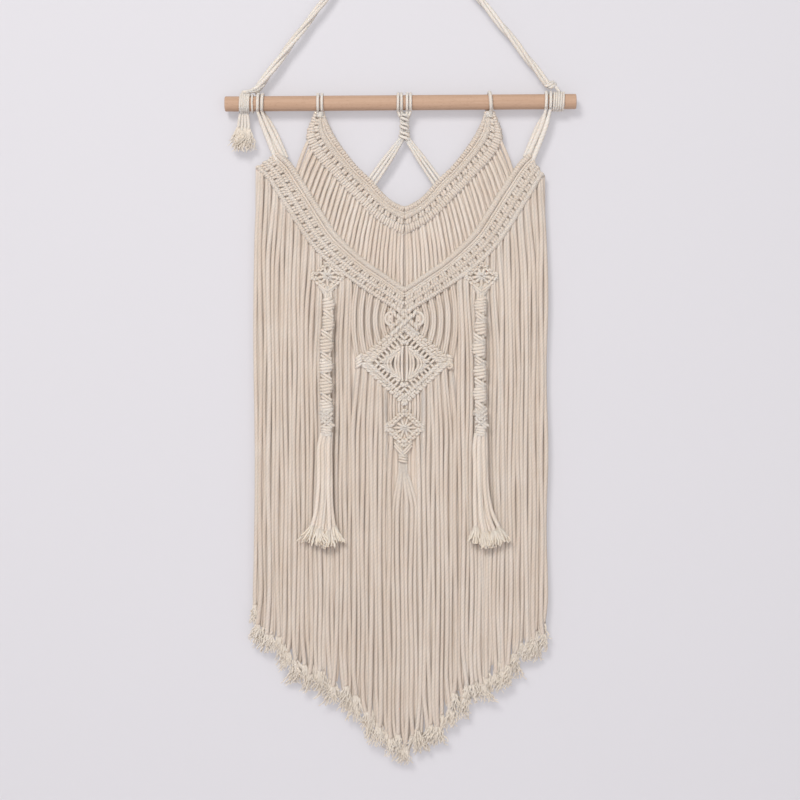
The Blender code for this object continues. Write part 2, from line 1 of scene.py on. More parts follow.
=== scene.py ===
# Macrame wall hanging: the looks. Twisted cotton cord, knotted into a V-shaped panel with
# diamonds, two spiral drops and a long fringe, hung from an oiled beech dowel.
import math
import random

import bpy
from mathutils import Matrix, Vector


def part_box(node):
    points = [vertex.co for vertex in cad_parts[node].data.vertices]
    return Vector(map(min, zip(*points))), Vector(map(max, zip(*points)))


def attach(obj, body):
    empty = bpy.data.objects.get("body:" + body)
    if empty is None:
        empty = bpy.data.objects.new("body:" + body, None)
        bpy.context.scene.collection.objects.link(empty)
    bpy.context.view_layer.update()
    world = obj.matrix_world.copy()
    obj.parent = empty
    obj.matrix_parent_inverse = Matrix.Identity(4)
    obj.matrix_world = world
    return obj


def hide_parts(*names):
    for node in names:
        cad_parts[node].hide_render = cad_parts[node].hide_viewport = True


mm = 0.001

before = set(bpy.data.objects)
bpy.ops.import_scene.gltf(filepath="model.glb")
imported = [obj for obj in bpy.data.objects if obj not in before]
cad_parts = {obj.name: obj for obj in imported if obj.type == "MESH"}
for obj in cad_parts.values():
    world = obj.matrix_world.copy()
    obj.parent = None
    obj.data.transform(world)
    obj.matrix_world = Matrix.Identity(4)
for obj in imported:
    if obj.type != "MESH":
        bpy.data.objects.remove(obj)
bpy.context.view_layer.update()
print("frame loaded:", len(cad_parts), "nodes")

# The dowel gives the place of all else.
dowelLow, dowelHigh = [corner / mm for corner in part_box("dowel")]
dowelRadius = (dowelHigh.y - dowelLow.y) / 2
dowelRise = dowelHigh.z - dowelLow.z - 2 * dowelRadius
dowelLength = dowelHigh.x - dowelLow.x
dowelAxis = (dowelHigh.z + dowelLow.z) / 2

cloth = {
    "middle": 4,  # it hangs this far right of the dowel's middle
    "cordRadius": 2.5,  # a soft 5 mm cord
    "tightRadius": 1.6,  # where it is drawn tight
}


def onCloth(across, down, forward=0.0):
    # across from the cloth's middle, down from the dowel's axis, forward to the viewer
    return Vector((cloth["middle"] + across, -forward, dowelAxis - down))


def mix(a, b, share):
    return a + (b - a) * share


def smoothLine(points, steps=4):
    # a Catmull-Rom curve through the points
    ends = [points[0] * 2 - points[1]] + list(points) + [points[-1] * 2 - points[-2]]
    line = []
    for a, b, c, d in zip(ends, ends[1:], ends[2:], ends[3:]):
        for step in range(steps):
            t = step / steps
            line.append(b + (c - a) * (t / 2) + (a * 2 - b * 5 + c * 4 - d) * (t * t / 2)
                        + (b * 3 - a - c * 3 + d) * (t ** 3 / 2))
    line.append(points[-1].copy())
    return line


def pointAt(line, share):
    lengths = [(b - a).length for a, b in zip(line, line[1:])]
    left = max(0, min(1, share)) * sum(lengths)
    for a, b, length in zip(line, line[1:], lengths):
        if left <= length:
            return a.lerp(b, left / length)
        left -= length
    return line[-1].copy()


def evenShares(count):
    return [(k + 0.5) / count for k in range(count)]


def linear(colour):
    # sRGB hex to linear
    parts = [int(colour[k:k + 2], 16) / 255 for k in (1, 3, 5)]
    return (*[c / 12.92 if c <= 0.04045 else ((c + 0.055) / 1.055) ** 2.4 for c in parts], 1)


def addNode(tree, kind, sockets=None, **settings):
    # sockets are set to values, or linked to another node's output (its first if a node)
    node = tree.nodes.new(kind)
    for setting, value in settings.items():
        setattr(node, setting, value)
    for socket, value in (sockets or {}).items():
        if isinstance(value, bpy.types.Node):
            value = value.outputs[0]
        if isinstance(value, bpy.types.NodeSocket):
            tree.links.new(value, node.inputs[socket])
        else:
            node.inputs[socket].default_value = value
    return node


# Cord: three plies along each path, as a Geometry Nodes tree.

pliedCord = {
    "Step": 2.2,  # mm between its rings
    "Lay": 12.0,  # mm for one turn of its three plies
    "Ply Depth": 0.06,  # how deep the groove between two plies is, in radii
    "Sides": 10,
}
# How the cord of some pieces differs from that.
cordForms = {
    "hanging": {"Lay": 16.0, "Ply Depth": 0.04},
    "looped": {"Step": 1.8},
    "hitched": {"Step": 1.7, "Ply Depth": 0.09, "Sides": 9},
    "tight": {"Step": 1.6, "Ply Depth": 0.09, "Sides": 9},
    "fringe": {"Step": 2.6},
    "behind": {"Step": 7.0, "Lay": 2000.0, "Ply Depth": 0.0, "Sides": 7},
    "drop": {"Step": 1.9, "Ply Depth": 0.08},
    "yarn": {"Lay": 40.0, "Ply Depth": 0.0, "Sides": 4},
    "brushedYarn": {"Lay": 40.0, "Ply Depth": 0.0, "Sides": 6},
}


def pliedCordTree():
    tree = bpy.data.node_groups.new("plied cord", "GeometryNodeTree")
    sockets = tree.interface
    sockets.new_socket("Paths", in_out="INPUT", socket_type="NodeSocketGeometry")
    for name, value in pliedCord.items():
        kind = "NodeSocketInt" if name == "Sides" else "NodeSocketFloat"
        sockets.new_socket(name, in_out="INPUT", socket_type=kind).default_value = value
    sockets.new_socket("Material", in_out="INPUT", socket_type="NodeSocketMaterial")
    sockets.new_socket("Cord", in_out="OUTPUT", socket_type="NodeSocketGeometry")
    given = addNode(tree, "NodeGroupInput").outputs
    mathNode = "ShaderNodeMath"

    # each path, even and turned once every lay
    smooth = addNode(tree, "GeometryNodeCurveSplineType", {"Curve": given["Paths"]},
                     spline_type="CATMULL_ROM")
    step = addNode(tree, mathNode, {0: given["Step"], 1: mm}, operation="MULTIPLY")
    even = addNode(tree, "GeometryNodeResampleCurve", {"Curve": smooth, "Length": step},
                   mode="LENGTH")
    spline = addNode(tree, "GeometryNodeSplineParameter")
    along = addNode(tree, mathNode, {0: spline.outputs["Length"], 1: mm}, operation="DIVIDE")
    phase = addNode(tree, "GeometryNodeInputCurveTilt")
    tone = addNode(tree, mathNode, {0: phase, 1: math.tau}, operation="DIVIDE")
    kept = addNode(tree, "GeometryNodeCaptureAttribute")
    for name, value in {"along": along, "tone": tone}.items():
        kept.capture_items.new("FLOAT", name)
        tree.links.new(value.outputs[0], kept.inputs[name])
    tree.links.new(even.outputs[0], kept.inputs["Geometry"])
    turns = addNode(tree, mathNode, {0: along, 1: given["Lay"]}, operation="DIVIDE")
    tilt = addNode(tree, mathNode, {0: turns, 1: math.tau, 2: phase}, operation="MULTIPLY_ADD")
    turned = addNode(tree, "GeometryNodeSetCurveTilt", {"Curve": kept, "Tilt": tilt})

    # its section: a circle drawn in between the plies
    circle = addNode(tree, "GeometryNodeCurvePrimitiveCircle",
                     {"Resolution": given["Sides"], "Radius": 1.0})
    corner = addNode(tree, "GeometryNodeInputIndex")
    share = addNode(tree, mathNode, {0: corner, 1: given["Sides"]}, operation="DIVIDE")
    angle = addNode(tree, mathNode, {0: share, 1: 3 * math.tau}, operation="MULTIPLY")
    wave = addNode(tree, mathNode, {0: angle}, operation="COSINE")
    crest = addNode(tree, mathNode, {0: wave, 1: 0.5, 2: 0.5}, operation="MULTIPLY_ADD")
    valley = addNode(tree, mathNode, {0: 1.0, 1: crest}, operation="SUBTRACT")
    groove = addNode(tree, mathNode, {0: valley, 1: given["Ply Depth"]}, operation="MULTIPLY")
    shrink = addNode(tree, mathNode, {0: 1.0, 1: groove}, operation="SUBTRACT")
    # a cord without plies has no grooves for the painted shade to darken
    plain = addNode(tree, mathNode, {0: given["Ply Depth"], 1: 0.001}, operation="LESS_THAN")
    onCrest = addNode(tree, mathNode, {0: crest, 1: plain}, operation="MAXIMUM")
    place = addNode(tree, "GeometryNodeInputPosition")
    lobed = addNode(tree, "ShaderNodeVectorMath", {0: place, "Scale": shrink},
                    operation="SCALE")
    plies = addNode(tree, "GeometryNodeCaptureAttribute")
    plies.capture_items.new("FLOAT", "ply")
    tree.links.new(circle.outputs["Curve"], plies.inputs["Geometry"])
    tree.links.new(onCrest.outputs[0], plies.inputs["ply"])
    section = addNode(tree, "GeometryNodeSetPosition", {"Geometry": plies, "Position": lobed})

    radius = addNode(tree, "GeometryNodeInputRadius")
    made = addNode(tree, "GeometryNodeCurveToMesh", {
        "Curve": turned, "Profile Curve": section, "Scale": radius, "Fill Caps": True})
    stored = {"along": kept.outputs["along"], "tone": kept.outputs["tone"],
              "ply": plies.outputs["ply"]}
    for name, value in stored.items():
        made = addNode(tree, "GeometryNodeStoreNamedAttribute",
                       {"Geometry": made, "Name": name, "Value": value})
    made = addNode(tree, "GeometryNodeRealizeInstances", {"Geometry": made})
    made = addNode(tree, "GeometryNodeSetMaterial",
                   {"Geometry": made, "Material": given["Material"]})
    addNode(tree, "NodeGroupOutput", {"Cord": made})
    return tree


def makeCords(name, runs, material, form=None):
    # one piece from runs of (spot, radius) in mm, a run for each length of cord
    chance = random.Random(name)
    curve = bpy.data.curves.new(name + ".paths", "CURVE")
    curve.dimensions = "3D"
    for run in runs:
        spline = curve.splines.new("POLY")
        spline.points.add(len(run) - 1)
        phase = chance.uniform(0, math.tau)
        for point, (spot, radius) in zip(spline.points, run):
            point.co = (*(spot * mm), 1)
            point.radius = radius * mm
            point.tilt = phase
    paths = bpy.data.objects.new(name + ".paths", curve)
    bpy.context.scene.collection.objects.link(paths)
    plying = paths.modifiers.new("plying", "NODES")
    plying.node_group = cordTree
    values = {**pliedCord, **cordForms.get(form, {}), "Material": material}
    for item in cordTree.interface.items_tree:
        if item.name in values:
            plying[item.identifier] = values[item.name]
    graph = bpy.context.evaluated_depsgraph_get()
    mesh = bpy.data.meshes.new_from_object(paths.evaluated_get(graph))
    bpy.data.objects.remove(paths)
    mesh.name = name
    mesh.shade_smooth()
    piece = bpy.data.objects.new(name, mesh)
    bpy.context.scene.collection.objects.link(piece)
    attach(piece, "root")
    count = sum(len(face.vertices) - 2 for face in mesh.polygons)
    print(f"{name}: {len(runs)} lengths of cord, {count} triangles")
    return piece


# Materials.

cottonTones = {
    "knotted": ("#E8DED3", "#DACBBC"),
    "tight": ("#EEE4D9", "#E0D2C3"),  # painted light: paler, as if the small knots stood in more light
    "fringe": ("#E4DACF", "#D6C7B8"),  # painted shade: a little darker where it hangs close
    "hanging": ("#EDE7DF", "#E0D7CC"),  # painted light: paler cord, as if lit more near the top
    # painted light: paler, to make up for the shade among the brushed yarns; warmer in tone too
    "tassel": ("#F6EADA", "#ECDDCA"),
    "open": ("#F7EEE2", "#EDE1D1"),  # painted light: the yarns are painted paler where the cord is open, to make up for the shade among them
}
cottonFinish = {
    "groove": 0.93,  # painted shade: brightness in the grooves between plies, where shade falls
    "fibre": 0.7,  # mm, far coarser than the 0.02 mm of a real fibre, so that it shows
    "fibreHeight": 0.2,
    "yarnTwist": 1.3,  # mm between the slanted lines on a ply
    "twistSlant": 0.9,  # mm that such a line runs along the cord while it crosses the ply
    "twistHeight": 0.15,
    "patch": 28,  # mm, cream and paler stretches
    # streaks: how many a mm along a ply and how many across it, and how unlike two cords are
    "streaks": (0.7, 4.5, 60.0),
    # how much patches, the cord itself and streaks change its tone, and what all start from
    "patchShare": 0.9,
    "cordShare": 0.45,
    "streakShare": 0.5,
    "shareBase": -0.6,
}


def cottonMaterial(name, light, dark, depth=0.4):
    # unbleached cotton, spun soft and laid in three plies: matt, with a faint halo of
    # loose fibres that sheen gives, cream with painted shade darkening the grooves
    material = bpy.data.materials.new(name)
    material.use_nodes = True
    tree = material.node_tree
    shader = tree.nodes["Principled BSDF"]
    f = cottonFinish
    mathNode = "ShaderNodeMath"
    along, tone, ply = [
        addNode(tree, "ShaderNodeAttribute", attribute_name=name).outputs["Fac"]
        for name in ("along", "tone", "ply")
    ]
    place = addNode(tree, "ShaderNodeTexCoord").outputs["Object"]
    patches = addNode(tree, "ShaderNodeTexNoise", {
        "Vector": place, "Scale": 1 / (f["patch"] * mm), "Detail": 2.0})
    fuzz = addNode(tree, "ShaderNodeTexNoise", {
        "Vector": place, "Scale": 1 / (f["fibre"] * mm), "Detail": 3.0, "Roughness": 0.65})
    onPly = addNode(tree, "ShaderNodeCombineXYZ", {"X": along, "Y": ply, "Z": tone})
    onPly = addNode(tree, "ShaderNodeVectorMath", {0: onPly, 1: f["streaks"]},
                    operation="MULTIPLY")
    streaks = addNode(tree, "ShaderNodeTexNoise", {"Vector": onPly, "Scale": 1.0, "Detail": 3.0})

    shares = addNode(tree, mathNode, {0: patches, 1: f["patchShare"], 2: f["shareBase"]},
                     operation="MULTIPLY_ADD")
    shares = addNode(tree, mathNode, {0: tone, 1: f["cordShare"], 2: shares},
                     operation="MULTIPLY_ADD")
    shares = addNode(tree, mathNode, {0: streaks, 1: f["streakShare"], 2: shares},
                     operation="MULTIPLY_ADD", use_clamp=True)
    # the mix node's colours are its sockets 6 and 7, and its coloured result is output 2
    cream = addNode(tree, "ShaderNodeMix", {0: shares, 6: linear(dark), 7: linear(light)},
                    data_type="RGBA")
    # painted shade: the base colour is darkened in the grooves between the plies
    paintedGrooveShade = addNode(tree, "ShaderNodeMapRange", {
        "Value": ply, "From Max": 0.8, "To Min": f["groove"], "To Max": 1.0})
    shaded = addNode(tree, "ShaderNodeVectorMath", {0: cream.outputs[2], "Scale": paintedGrooveShade},
                     operation="SCALE")
    tree.links.new(shaded.outputs[0], shader.inputs["Base Color"])

    slant = addNode(tree, mathNode, {0: ply, 1: f["twistSlant"], 2: along},
                    operation="MULTIPLY_ADD")
    slant = addNode(tree, mathNode, {0: slant, 1: math.tau / f["yarnTwist"]},
                    operation="MULTIPLY")
    lines = addNode(tree, mathNode, {0: slant}, operation="SINE")
    bump = addNode(tree, "ShaderNodeBump", {
        "Strength": 0.5, "Distance": f["twistHeight"] * mm, "Height": lines})
    bump = addNode(tree, "ShaderNodeBump", {
        "Strength": 0.8, "Distance": f["fibreHeight"] * mm, "Height": fuzz, "Normal": bump})
    tree.links.new(bump.outputs[0], shader.inputs["Normal"])
    shader.inputs["Roughness"].default_value = 0.9
    shader.inputs["Specular IOR Level"].default_value = 0.2
    shader.inputs["Subsurface Weight"].default_value = depth
    shader.inputs["Subsurface Radius"].default_value = (1.0, 0.85, 0.7)
    shader.inputs["Subsurface Scale"].default_value = 2.2 * mm
    shader.inputs["Sheen Weight"].default_value = 0.25
    shader.inputs["Sheen Roughness"].default_value = 0.5
    return material


beechFinish = {
    "pale": "#C9AA92",
    "deep": "#B18E74",
    "fleck": "#98755E",
    "grainLength": 70,  # mm
    "grainWidth": 1.6,
    "fleckLength": 3.0,  # the short dark rays that mark beech
    "fleckWidth": 0.4,
    "fleckShare": 0.6,  # how far the colour turns to the fleck's
    "grainHeight": 0.05,
}


def beechMaterial():
    # beech, turned, sanded and rubbed with oil: fine straight grain along the rod with
    # short dark flecks, and a soft satin
    material = bpy.data.materials.new("turned and oiled beech")
    material.use_nodes = True
    tree = material.node_tree
    shader = tree.nodes["Principled BSDF"]
    f = beechFinish
    place = addNode(tree, "ShaderNodeTexCoord").outputs["Object"]

    def alongRod(length, width):
        return addNode(tree, "ShaderNodeMapping", {"Vector": place, "Scale": (
            1 / (length * mm), 1 / (width * mm), 1 / (width * mm))})

    grain = addNode(tree, "ShaderNodeTexNoise", {
        "Vector": alongRod(f["grainLength"], f["grainWidth"]), "Scale": 1.0, "Detail": 4.0,
        "Distortion": 0.6})
    flecks = addNode(tree, "ShaderNodeTexNoise", {
        "Vector": alongRod(f["fleckLength"], f["fleckWidth"]), "Scale": 1.0})
    sharp = addNode(tree, "ShaderNodeMapRange", {
        "Value": flecks, "From Min": 0.6, "From Max": 0.72})
    wood = addNode(tree, "ShaderNodeMix", {
        0: grain, 6: linear(f["deep"]), 7: linear(f["pale"])}, data_type="RGBA")
    part = addNode(tree, "ShaderNodeMath", {0: sharp, 1: f["fleckShare"]},
                   operation="MULTIPLY")
    marked = addNode(tree, "ShaderNodeMix", {
        0: part, 6: wood.outputs[2], 7: linear(f["fleck"])}, data_type="RGBA")
    tree.links.new(marked.outputs[2], shader.inputs["Base Color"])
    bump = addNode(tree, "ShaderNodeBump", {
        "Strength": 0.4, "Distance": f["grainHeight"] * mm, "Height": grain})
    tree.links.new(bump.outputs[0], shader.inputs["Normal"])
    shader.inputs["Roughness"].default_value = 0.6
    shader.inputs["Specular IOR Level"].default_value = 0.3
    return material


cordTree = pliedCordTree()
cotton = cottonMaterial("unbleached twisted cotton cord", *cottonTones["knotted"])
# painted light: paler cotton for the small knots, as if they stood in more light
paintedLitKnotCotton = cottonMaterial("cotton cord in tight knots", *cottonTones["tight"])
# painted shade: darker cotton for the fringe, where it hangs close
paintedShadeFringeCotton = cottonMaterial("loose cotton cord", *cottonTones["fringe"])
# painted light: the hanging cord and the dowel loops are painted paler, as if lit more near the
# top
paintedTopLightCotton = cottonMaterial("twisted cotton cord painted paler as if lit from above", *cottonTones["hanging"])
# painted light: paler cotton for the open yarns, against the shade among them
paintedLitOpenCotton = cottonMaterial("combed out cotton yarn", *cottonTones["open"], 0.15)
# painted light: tassel cotton painted paler against the shade among its yarns, and warmer
paintedLitTasselCotton = cottonMaterial("brushed out cotton cord", *cottonTones["tassel"])
beech = beechMaterial()
print("materials ready")

# Dowel.

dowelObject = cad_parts["dowel"]
dowelObject.data.materials.clear()
dowelObject.data.materials.append(beech)


def dowelHeight(x):
    return dowelAxis + dowelRise * x / dowelLength


def roundDowel(x, radius, start, end, lean=0.0, lift=0.05):
    # round the dowel from angle to angle in degrees: 0 is its foot, 90 its front, 180 its
    # top and 270 its back; lean is how far the cord travels along it, and lift how far
    # clear of it the cord lies
    spots = []
    steps = max(3, round(abs(end - start) / 30))  # a spot every 30 degrees
    for step in range(steps + 1):
        share = step / steps
        angle = math.radians(mix(start, end, share))
        reach = dowelRadius + radius + lift
        spotX = x + lean * (share - 0.5)
        spots.append(Vector((spotX, -reach * math.sin(angle),
                             dowelHeight(spotX) - reach * math.cos(angle))))
    return spots


def cordOf(spots, radius):
    return [(spot, radius) for spot in spots]


# Hanging cord: three cords twisted together, wrapped at its left foot, knotted and bound
# with thin turns at its right.

hangingCord = {
    # x, z and how thick the twist is there, from the left foot over the hook
    "path": [(-147, -189.5, 1.25), (-140, -183, 1.3), (-106.5, -138.5, 1.12),
             (-75.9, -98.5, 1.0), (-40, -51, 0.93), (-9, -9, 0.85), (-0.6, 3.0, 0.8),
             (8, -9, 0.85), (40, -49.5, 0.95), (79.9, -98.5, 1.1), (109.5, -134.5, 1.15),
             (141, -175, 1.15), (148, -184, 1.0)],
    "spacing": 4,  # mm between the spots along it
    "cords": 3,
    "cordRadius": 2.15,
    "twistRadius": 1.7,
    "twistLength": 120,
    # each turn's place along the dowel, from which angle to which it goes in degrees, and
    # how far it travels along the dowel
    "leftWraps": {"places": (-159.4, -157.4, -155.4, -153.4, -151.6), "from": -40, "to": 300,
                  "lean": 1.7, "radius": 1.45},
    "thinWrap": {"places": (-147.9,), "from": -60, "to": 300, "lean": 0.0, "radius": 1.1},
    "rightWraps": {"places": (153.6, 155.9, 158.2, 160.5, 162.8), "from": -20, "to": 310,
                   "lean": 2.6, "radius": 1.3},
    # from the left wraps to the twist's foot: x, y and how far over the dowel's top
    "overTop": [(-160, 3, -1), (-157.5, -0.5, 3.6), (-152, -1.5, 4.6), (-146.5, -1.5, 6.2),
                (-140, 0, 12)],
    "overTopMiddle": -150,  # where along the dowel that top is taken
    "overTopShifts": (0, 3.5),
    "overTopRadius": 2.1,
    "footKnot": {
        "middle": (149.0, 0, -182.5),
        "nextTurn": (2.6, 0, -1.6),  # from one turn's middle to the next one's
        "turns": 2,
        "reach": 4.0,  # how far out a turn goes
        "slip": 0.77,  # how far it is drawn out of round
        "rise": 2.4,
        "skew": 0.9,  # radians
        "end": [(155, -2.5, -186), (158, -3, -189.5), (159, -2, -191.5)],
        "radius": 1.8,
    },
    "tails": ((-162, -226), (-158.5, -229), (-155, -227), (-151.5, -228)),  # x and z
    "tailRadius": 1.8,
}


def hangingRuns():
    h = hangingCord
    path = smoothLine([Vector(spot) for spot in h["path"]], 8)
    length = sum((b.xy - a.xy).length for a, b in zip(path, path[1:]))
    count = round(length / h["spacing"])
    middles = [pointAt(path, k / count) for k in range(count + 1)]
    runs = []
    for cord in range(h["cords"]):
        run = []
        for k, spot in enumerate(middles):
            ahead = middles[min(k + 1, count)] - middles[max(k - 1, 0)]
            beside = Vector((ahead.y, 0, -ahead.x)).normalized()
            angle = math.tau * (k * length / count / h["twistLength"] + cord / h["cords"])
            reach = h["twistRadius"] * spot.z
            centre = Vector((spot.x, 0, spot.y))
            run.append((centre + beside * (reach * math.cos(angle))
                        + Vector((0, reach * math.sin(angle), 0)),
                        h["cordRadius"] * mix(1, spot.z, 0.5)))
        runs.append(run)
    return runs


def wrapped(wraps):
    # turns of one cord round the dowel, side by side
    spots = []
    for k, x in enumerate(wraps["places"]):
        spots += roundDowel(x, wraps["radius"], 360 * k + wraps["from"],
                            360 * k + wraps["to"], wraps["lean"])
    return cordOf(spots, wraps["radius"])


def footWraps():
    # the turns round the dowel at both feet, and what ties them to the twisted cord
    h = hangingCord
    top = dowelHeight(h["overTopMiddle"]) + dowelRadius
    over = [cordOf([Vector((x + shift, y, top + z)) for x, y, z in h["overTop"]],
                   h["overTopRadius"]) for shift in h["overTopShifts"]]
    return [wrapped(h["leftWraps"])] + over + [wrapped(h["thinWrap"]), wrapped(h["rightWraps"])]


def footKnot():
    # an overhand knot where the twisted cord comes down to the dowel
    knot = hangingCord["footKnot"]
    spots = []
    for turn in range(knot["turns"]):
        middle = Vector(knot["middle"]) + Vector(knot["nextTurn"]) * turn
        for step in range(9):
            angle = math.tau * step / 8
            spots.append(middle + Vector((
                knot["reach"] * math.cos(angle) - knot["slip"] * math.sin(angle + turn),
                -knot["reach"] * math.sin(angle),
                knot["rise"] * math.cos(angle + knot["skew"]))))
    spots += [Vector(spot) for spot in knot["end"]]
    return [cordOf(spots, knot["radius"])]


def tailRuns():
    # the cord's own ends below the left wraps
    h = hangingCord
    runs = []
    for x, (tipX, tipZ) in zip(h["leftWraps"]["places"], h["tails"]):
        foot = roundDowel(x, h["tailRadius"], 60, 10, lift=-0.05)
        knee = Vector((mix(x, tipX, 0.5), -1, mix(dowelHeight(x), tipZ, 0.55)))
        runs.append(cordOf(foot + [knee, Vector((tipX, -1, tipZ))], h["tailRadius"]))
    return runs


tails = tailRuns()
hanger = makeCords("hanging_cord", hangingRuns() + footKnot() + footWraps() + tails,
                   paintedTopLightCotton, "hanging")


# Knotted bands. Each is drawn by its upper and lower edge from the outer end in to the
# middle: how far across and down its upper edge lies, then its lower edge.

neckEdges = [
    (80, 10, 91, 10), (74, 24, 99, 36), (66, 38, 87, 58), (56, 52, 73.5, 72),
    (45, 65, 61.5, 85), (33, 76, 49.5, 97), (22, 89, 34, 113), (12, 98, 17, 125),
    (0, 103.5, 0, 134),
]
bandEdges = [
    (124.5, 49, 149, 66), (112.5, 60, 136.7, 79), (102.5, 75, 128.4, 92),
    (91.5, 92, 117, 110), (81.5, 108, 107, 126), (69.5, 127, 93.5, 144.5),
    (55.5, 142, 76, 162), (37.5, 158, 54.5, 178.5), (19.5, 170.5, 28, 196),
    (0, 184, 0, 213),
]
rightBandEnd = [(123.5, 49.5, 139.0, 74.0), (113.0, 60, 134.8, 81.0)]

# One row of double half hitches each: from and to are its place on the band from the upper
# edge (0) to the lower (1), deep is its half thickness, pairing draws each two turns of a
# hitch together, and bead swells every other turn.
neckBars = {
    "beaded": {"from": 0.0, "to": 0.24, "hitches": 28, "radius": 1.7, "deep": 3.5,
               "pairing": 0.12, "bead": 0.14},
    "smooth": {"from": 0.24, "to": 0.5, "hitches": 34, "radius": 2.1, "deep": 4.2,
               "pairing": 0.0, "bead": 0.0},
    "slanted": {"from": 0.58, "to": 1.0, "hitches": 30, "radius": 1.8, "deep": 3.3,
                "pairing": 0.1, "bead": 0.04},
}
bandBars = {
    "upper": {"from": 0.0, "to": 0.25, "hitches": 42, "radius": 2.1, "deep": 4.2,
              "pairing": 0.0, "bead": 0.0},
    "second": {"from": 0.27, "to": 0.44, "hitches": 42, "radius": 1.8, "deep": 3.8,
               "pairing": 0.0, "bead": 0.0},
    "knotted": {"from": 0.49, "to": 0.73, "hitches": 40, "radius": 1.85, "deep": 4.1,
                "pairing": 0.06, "bead": 0.07},
    "lower": {"from": 0.77, "to": 1.0, "hitches": 44, "radius": 2.0, "deep": 4.0,
              "pairing": 0.0, "bead": 0.0},
}
# Between two rows: how many holes, and how many cords between each two of those.
neckLacings = [
    {"from": 0.46, "to": 0.64, "holes": 20, "cords": 2, "radius": 1.9, "forward": 1.5},
]
bandLacings = [
    {"from": 0.4, "to": 0.54, "holes": 19, "cords": 3, "radius": 1.8, "forward": 1.9},
    {"from": 0.68, "to": 0.82, "holes": 19, "cords": 3, "radius": 1.8, "forward": 1.9},
]
# The cord in the groove below the first row.
neckGroove = {"place": 0.24, "forward": 0.7, "radius": 1.5}
bandGroove = {"place": 0.26, "forward": 0.6, "radius": 1.6}


def bandSpot(line, share, place):
    edges = pointAt(line, share)
    return Vector((mix(edges[0], edges[2], place), mix(edges[1], edges[3], place)))


def hitchedBar(line, side, bar, middle=0.0, forward=0.0):
    # a cord that winds closely round a holding cord, two turns a hitch
    steps = 8  # points a turn
    turns = 2 * bar["hitches"]
    spots = []
    for step in range(turns * steps + 1):
        turn = step / steps
        angle = math.tau * turn
        share = (turn + bar["pairing"] * math.sin(math.pi * turn)) / turns
        top = bandSpot(line, share, bar["from"])
        foot = bandSpot(line, share, bar["to"])
        half = (foot - top) / 2
        swell = 1 + bar["bead"] * math.cos(math.pi * turn)
        reach = (1 - bar["radius"] / half.length) * swell
        spot = (top + foot) / 2 + half * (reach * math.cos(angle))
        out = (bar["deep"] - bar["radius"]) * swell * math.sin(angle) + forward
        spots.append(onCloth(middle + side * spot.x, spot.y, out))
    return cordOf(spots, bar["radius"])


def rowCord(line, side, place, forward, radius):
    # a cord that runs along behind the groove between two rows
    spots = [bandSpot(line, k / 40, place) for k in range(41)]
    return cordOf([onCloth(side * spot.x, spot.y, forward) for spot in spots], radius)


def lacing(line, side, lace):
    # short cords that close the gap between two rows but for a hole after every few
    holeWidth = 0.6  # in cords' widths
    between = (lace["from"] + lace["to"]) / 2
    runs = [rowCord(line, side, place=between, forward=-1.6, radius=2.0)]
    for hole in range(lace["holes"]):
        for cord in range(lace["cords"]):
            share = (hole + (cord + 0.5) / (lace["cords"] + holeWidth)) / lace["holes"]
            top = bandSpot(line, share, lace["from"])
            foot = bandSpot(line, share, lace["to"])
            runs.append(cordOf([
                onCloth(side * spot.x, spot.y, lace["forward"] - sunk)
                for spot, sunk in ((top, 0.8), ((top + foot) / 2, 0), (foot, 0.8))],
                lace["radius"]))
    return runs


# A square knot as fractions of its half width, half height and half thickness: where the
# cord goes that crosses in front first, and where the other one does.
squareKnotCords = [
    [(-0.5, -1.05, 0.1), (-0.92, -0.8, 0.2), (-0.5, -0.55, 0.9), (0.0, -0.42, 1.0),
     (0.55, -0.28, 0.9), (0.98, 0.0, 0.2), (0.6, 0.22, -0.7), (0.0, 0.38, -0.9),
     (-0.6, 0.5, -0.7), (-0.98, 0.7, 0.0), (-0.75, 0.92, 0.1), (-0.45, 1.1, 0.1)],
    [(0.5, -1.05, 0.1), (0.95, -0.8, 0.0), (0.6, -0.6, -0.7), (0.0, -0.45, -0.9),
     (-0.6, -0.25, -0.7), (-0.98, 0.0, 0.2), (-0.5, 0.24, 0.9), (0.0, 0.4, 1.0),
     (0.5, 0.54, 0.9), (0.95, 0.74, 0.2), (0.72, 0.95, 0.1), (0.45, 1.1, 0.1)],
]


def squareKnot(middle, down, halfWidth, halfHeight, deep, radius, fillers=2):
    # both cords, and the upright ones that they are tied round
    runs = []
    for cord in squareKnotCords:
        runs.append(cordOf([
            onCloth(middle + beside * (halfWidth - radius), down + below * halfHeight,
                    front * (deep - radius)) for beside, below, front in cord], radius))
    for k in range(fillers):
        beside = (k - (fillers - 1) / 2) * 2 * radius
        runs.append(cordOf([onCloth(middle + beside, down + below * halfHeight)
                            for below in (-1.1, 0, 1.1)], radius))
    return runs


neckLine = smoothLine([Vector(edges) for edges in neckEdges], 3)
bandLine = smoothLine([Vector(edges) for edges in bandEdges], 3)
# on the right it ends closer in
bandLines = {-1: bandLine,
             1: smoothLine([Vector(edges) for edges in rightBandEnd + bandEdges[2:]], 3)}


def bandRuns(line, side, bars, lacings, groove):
    # one side of a band, from its outer end to the middle
    runs = [hitchedBar(line, side, bar) for bar in bars.values()]
    for lace in lacings:
        runs += lacing(line, side, lace)
    return runs + [rowCord(line, side, **groove)]


makeCords("neck", [run for side in (-1, 1) for run in bandRuns(
    neckLine, side, neckBars, neckLacings, neckGroove)], cotton, "hitched")
makeCords("band", [run for side in (-1, 1) for run in bandRuns(
    bandLines[side], side, bandBars, bandLacings, bandGroove)], cotton, "hitched")


# Loops over the dowel, the middle sinnet and its diagonals.

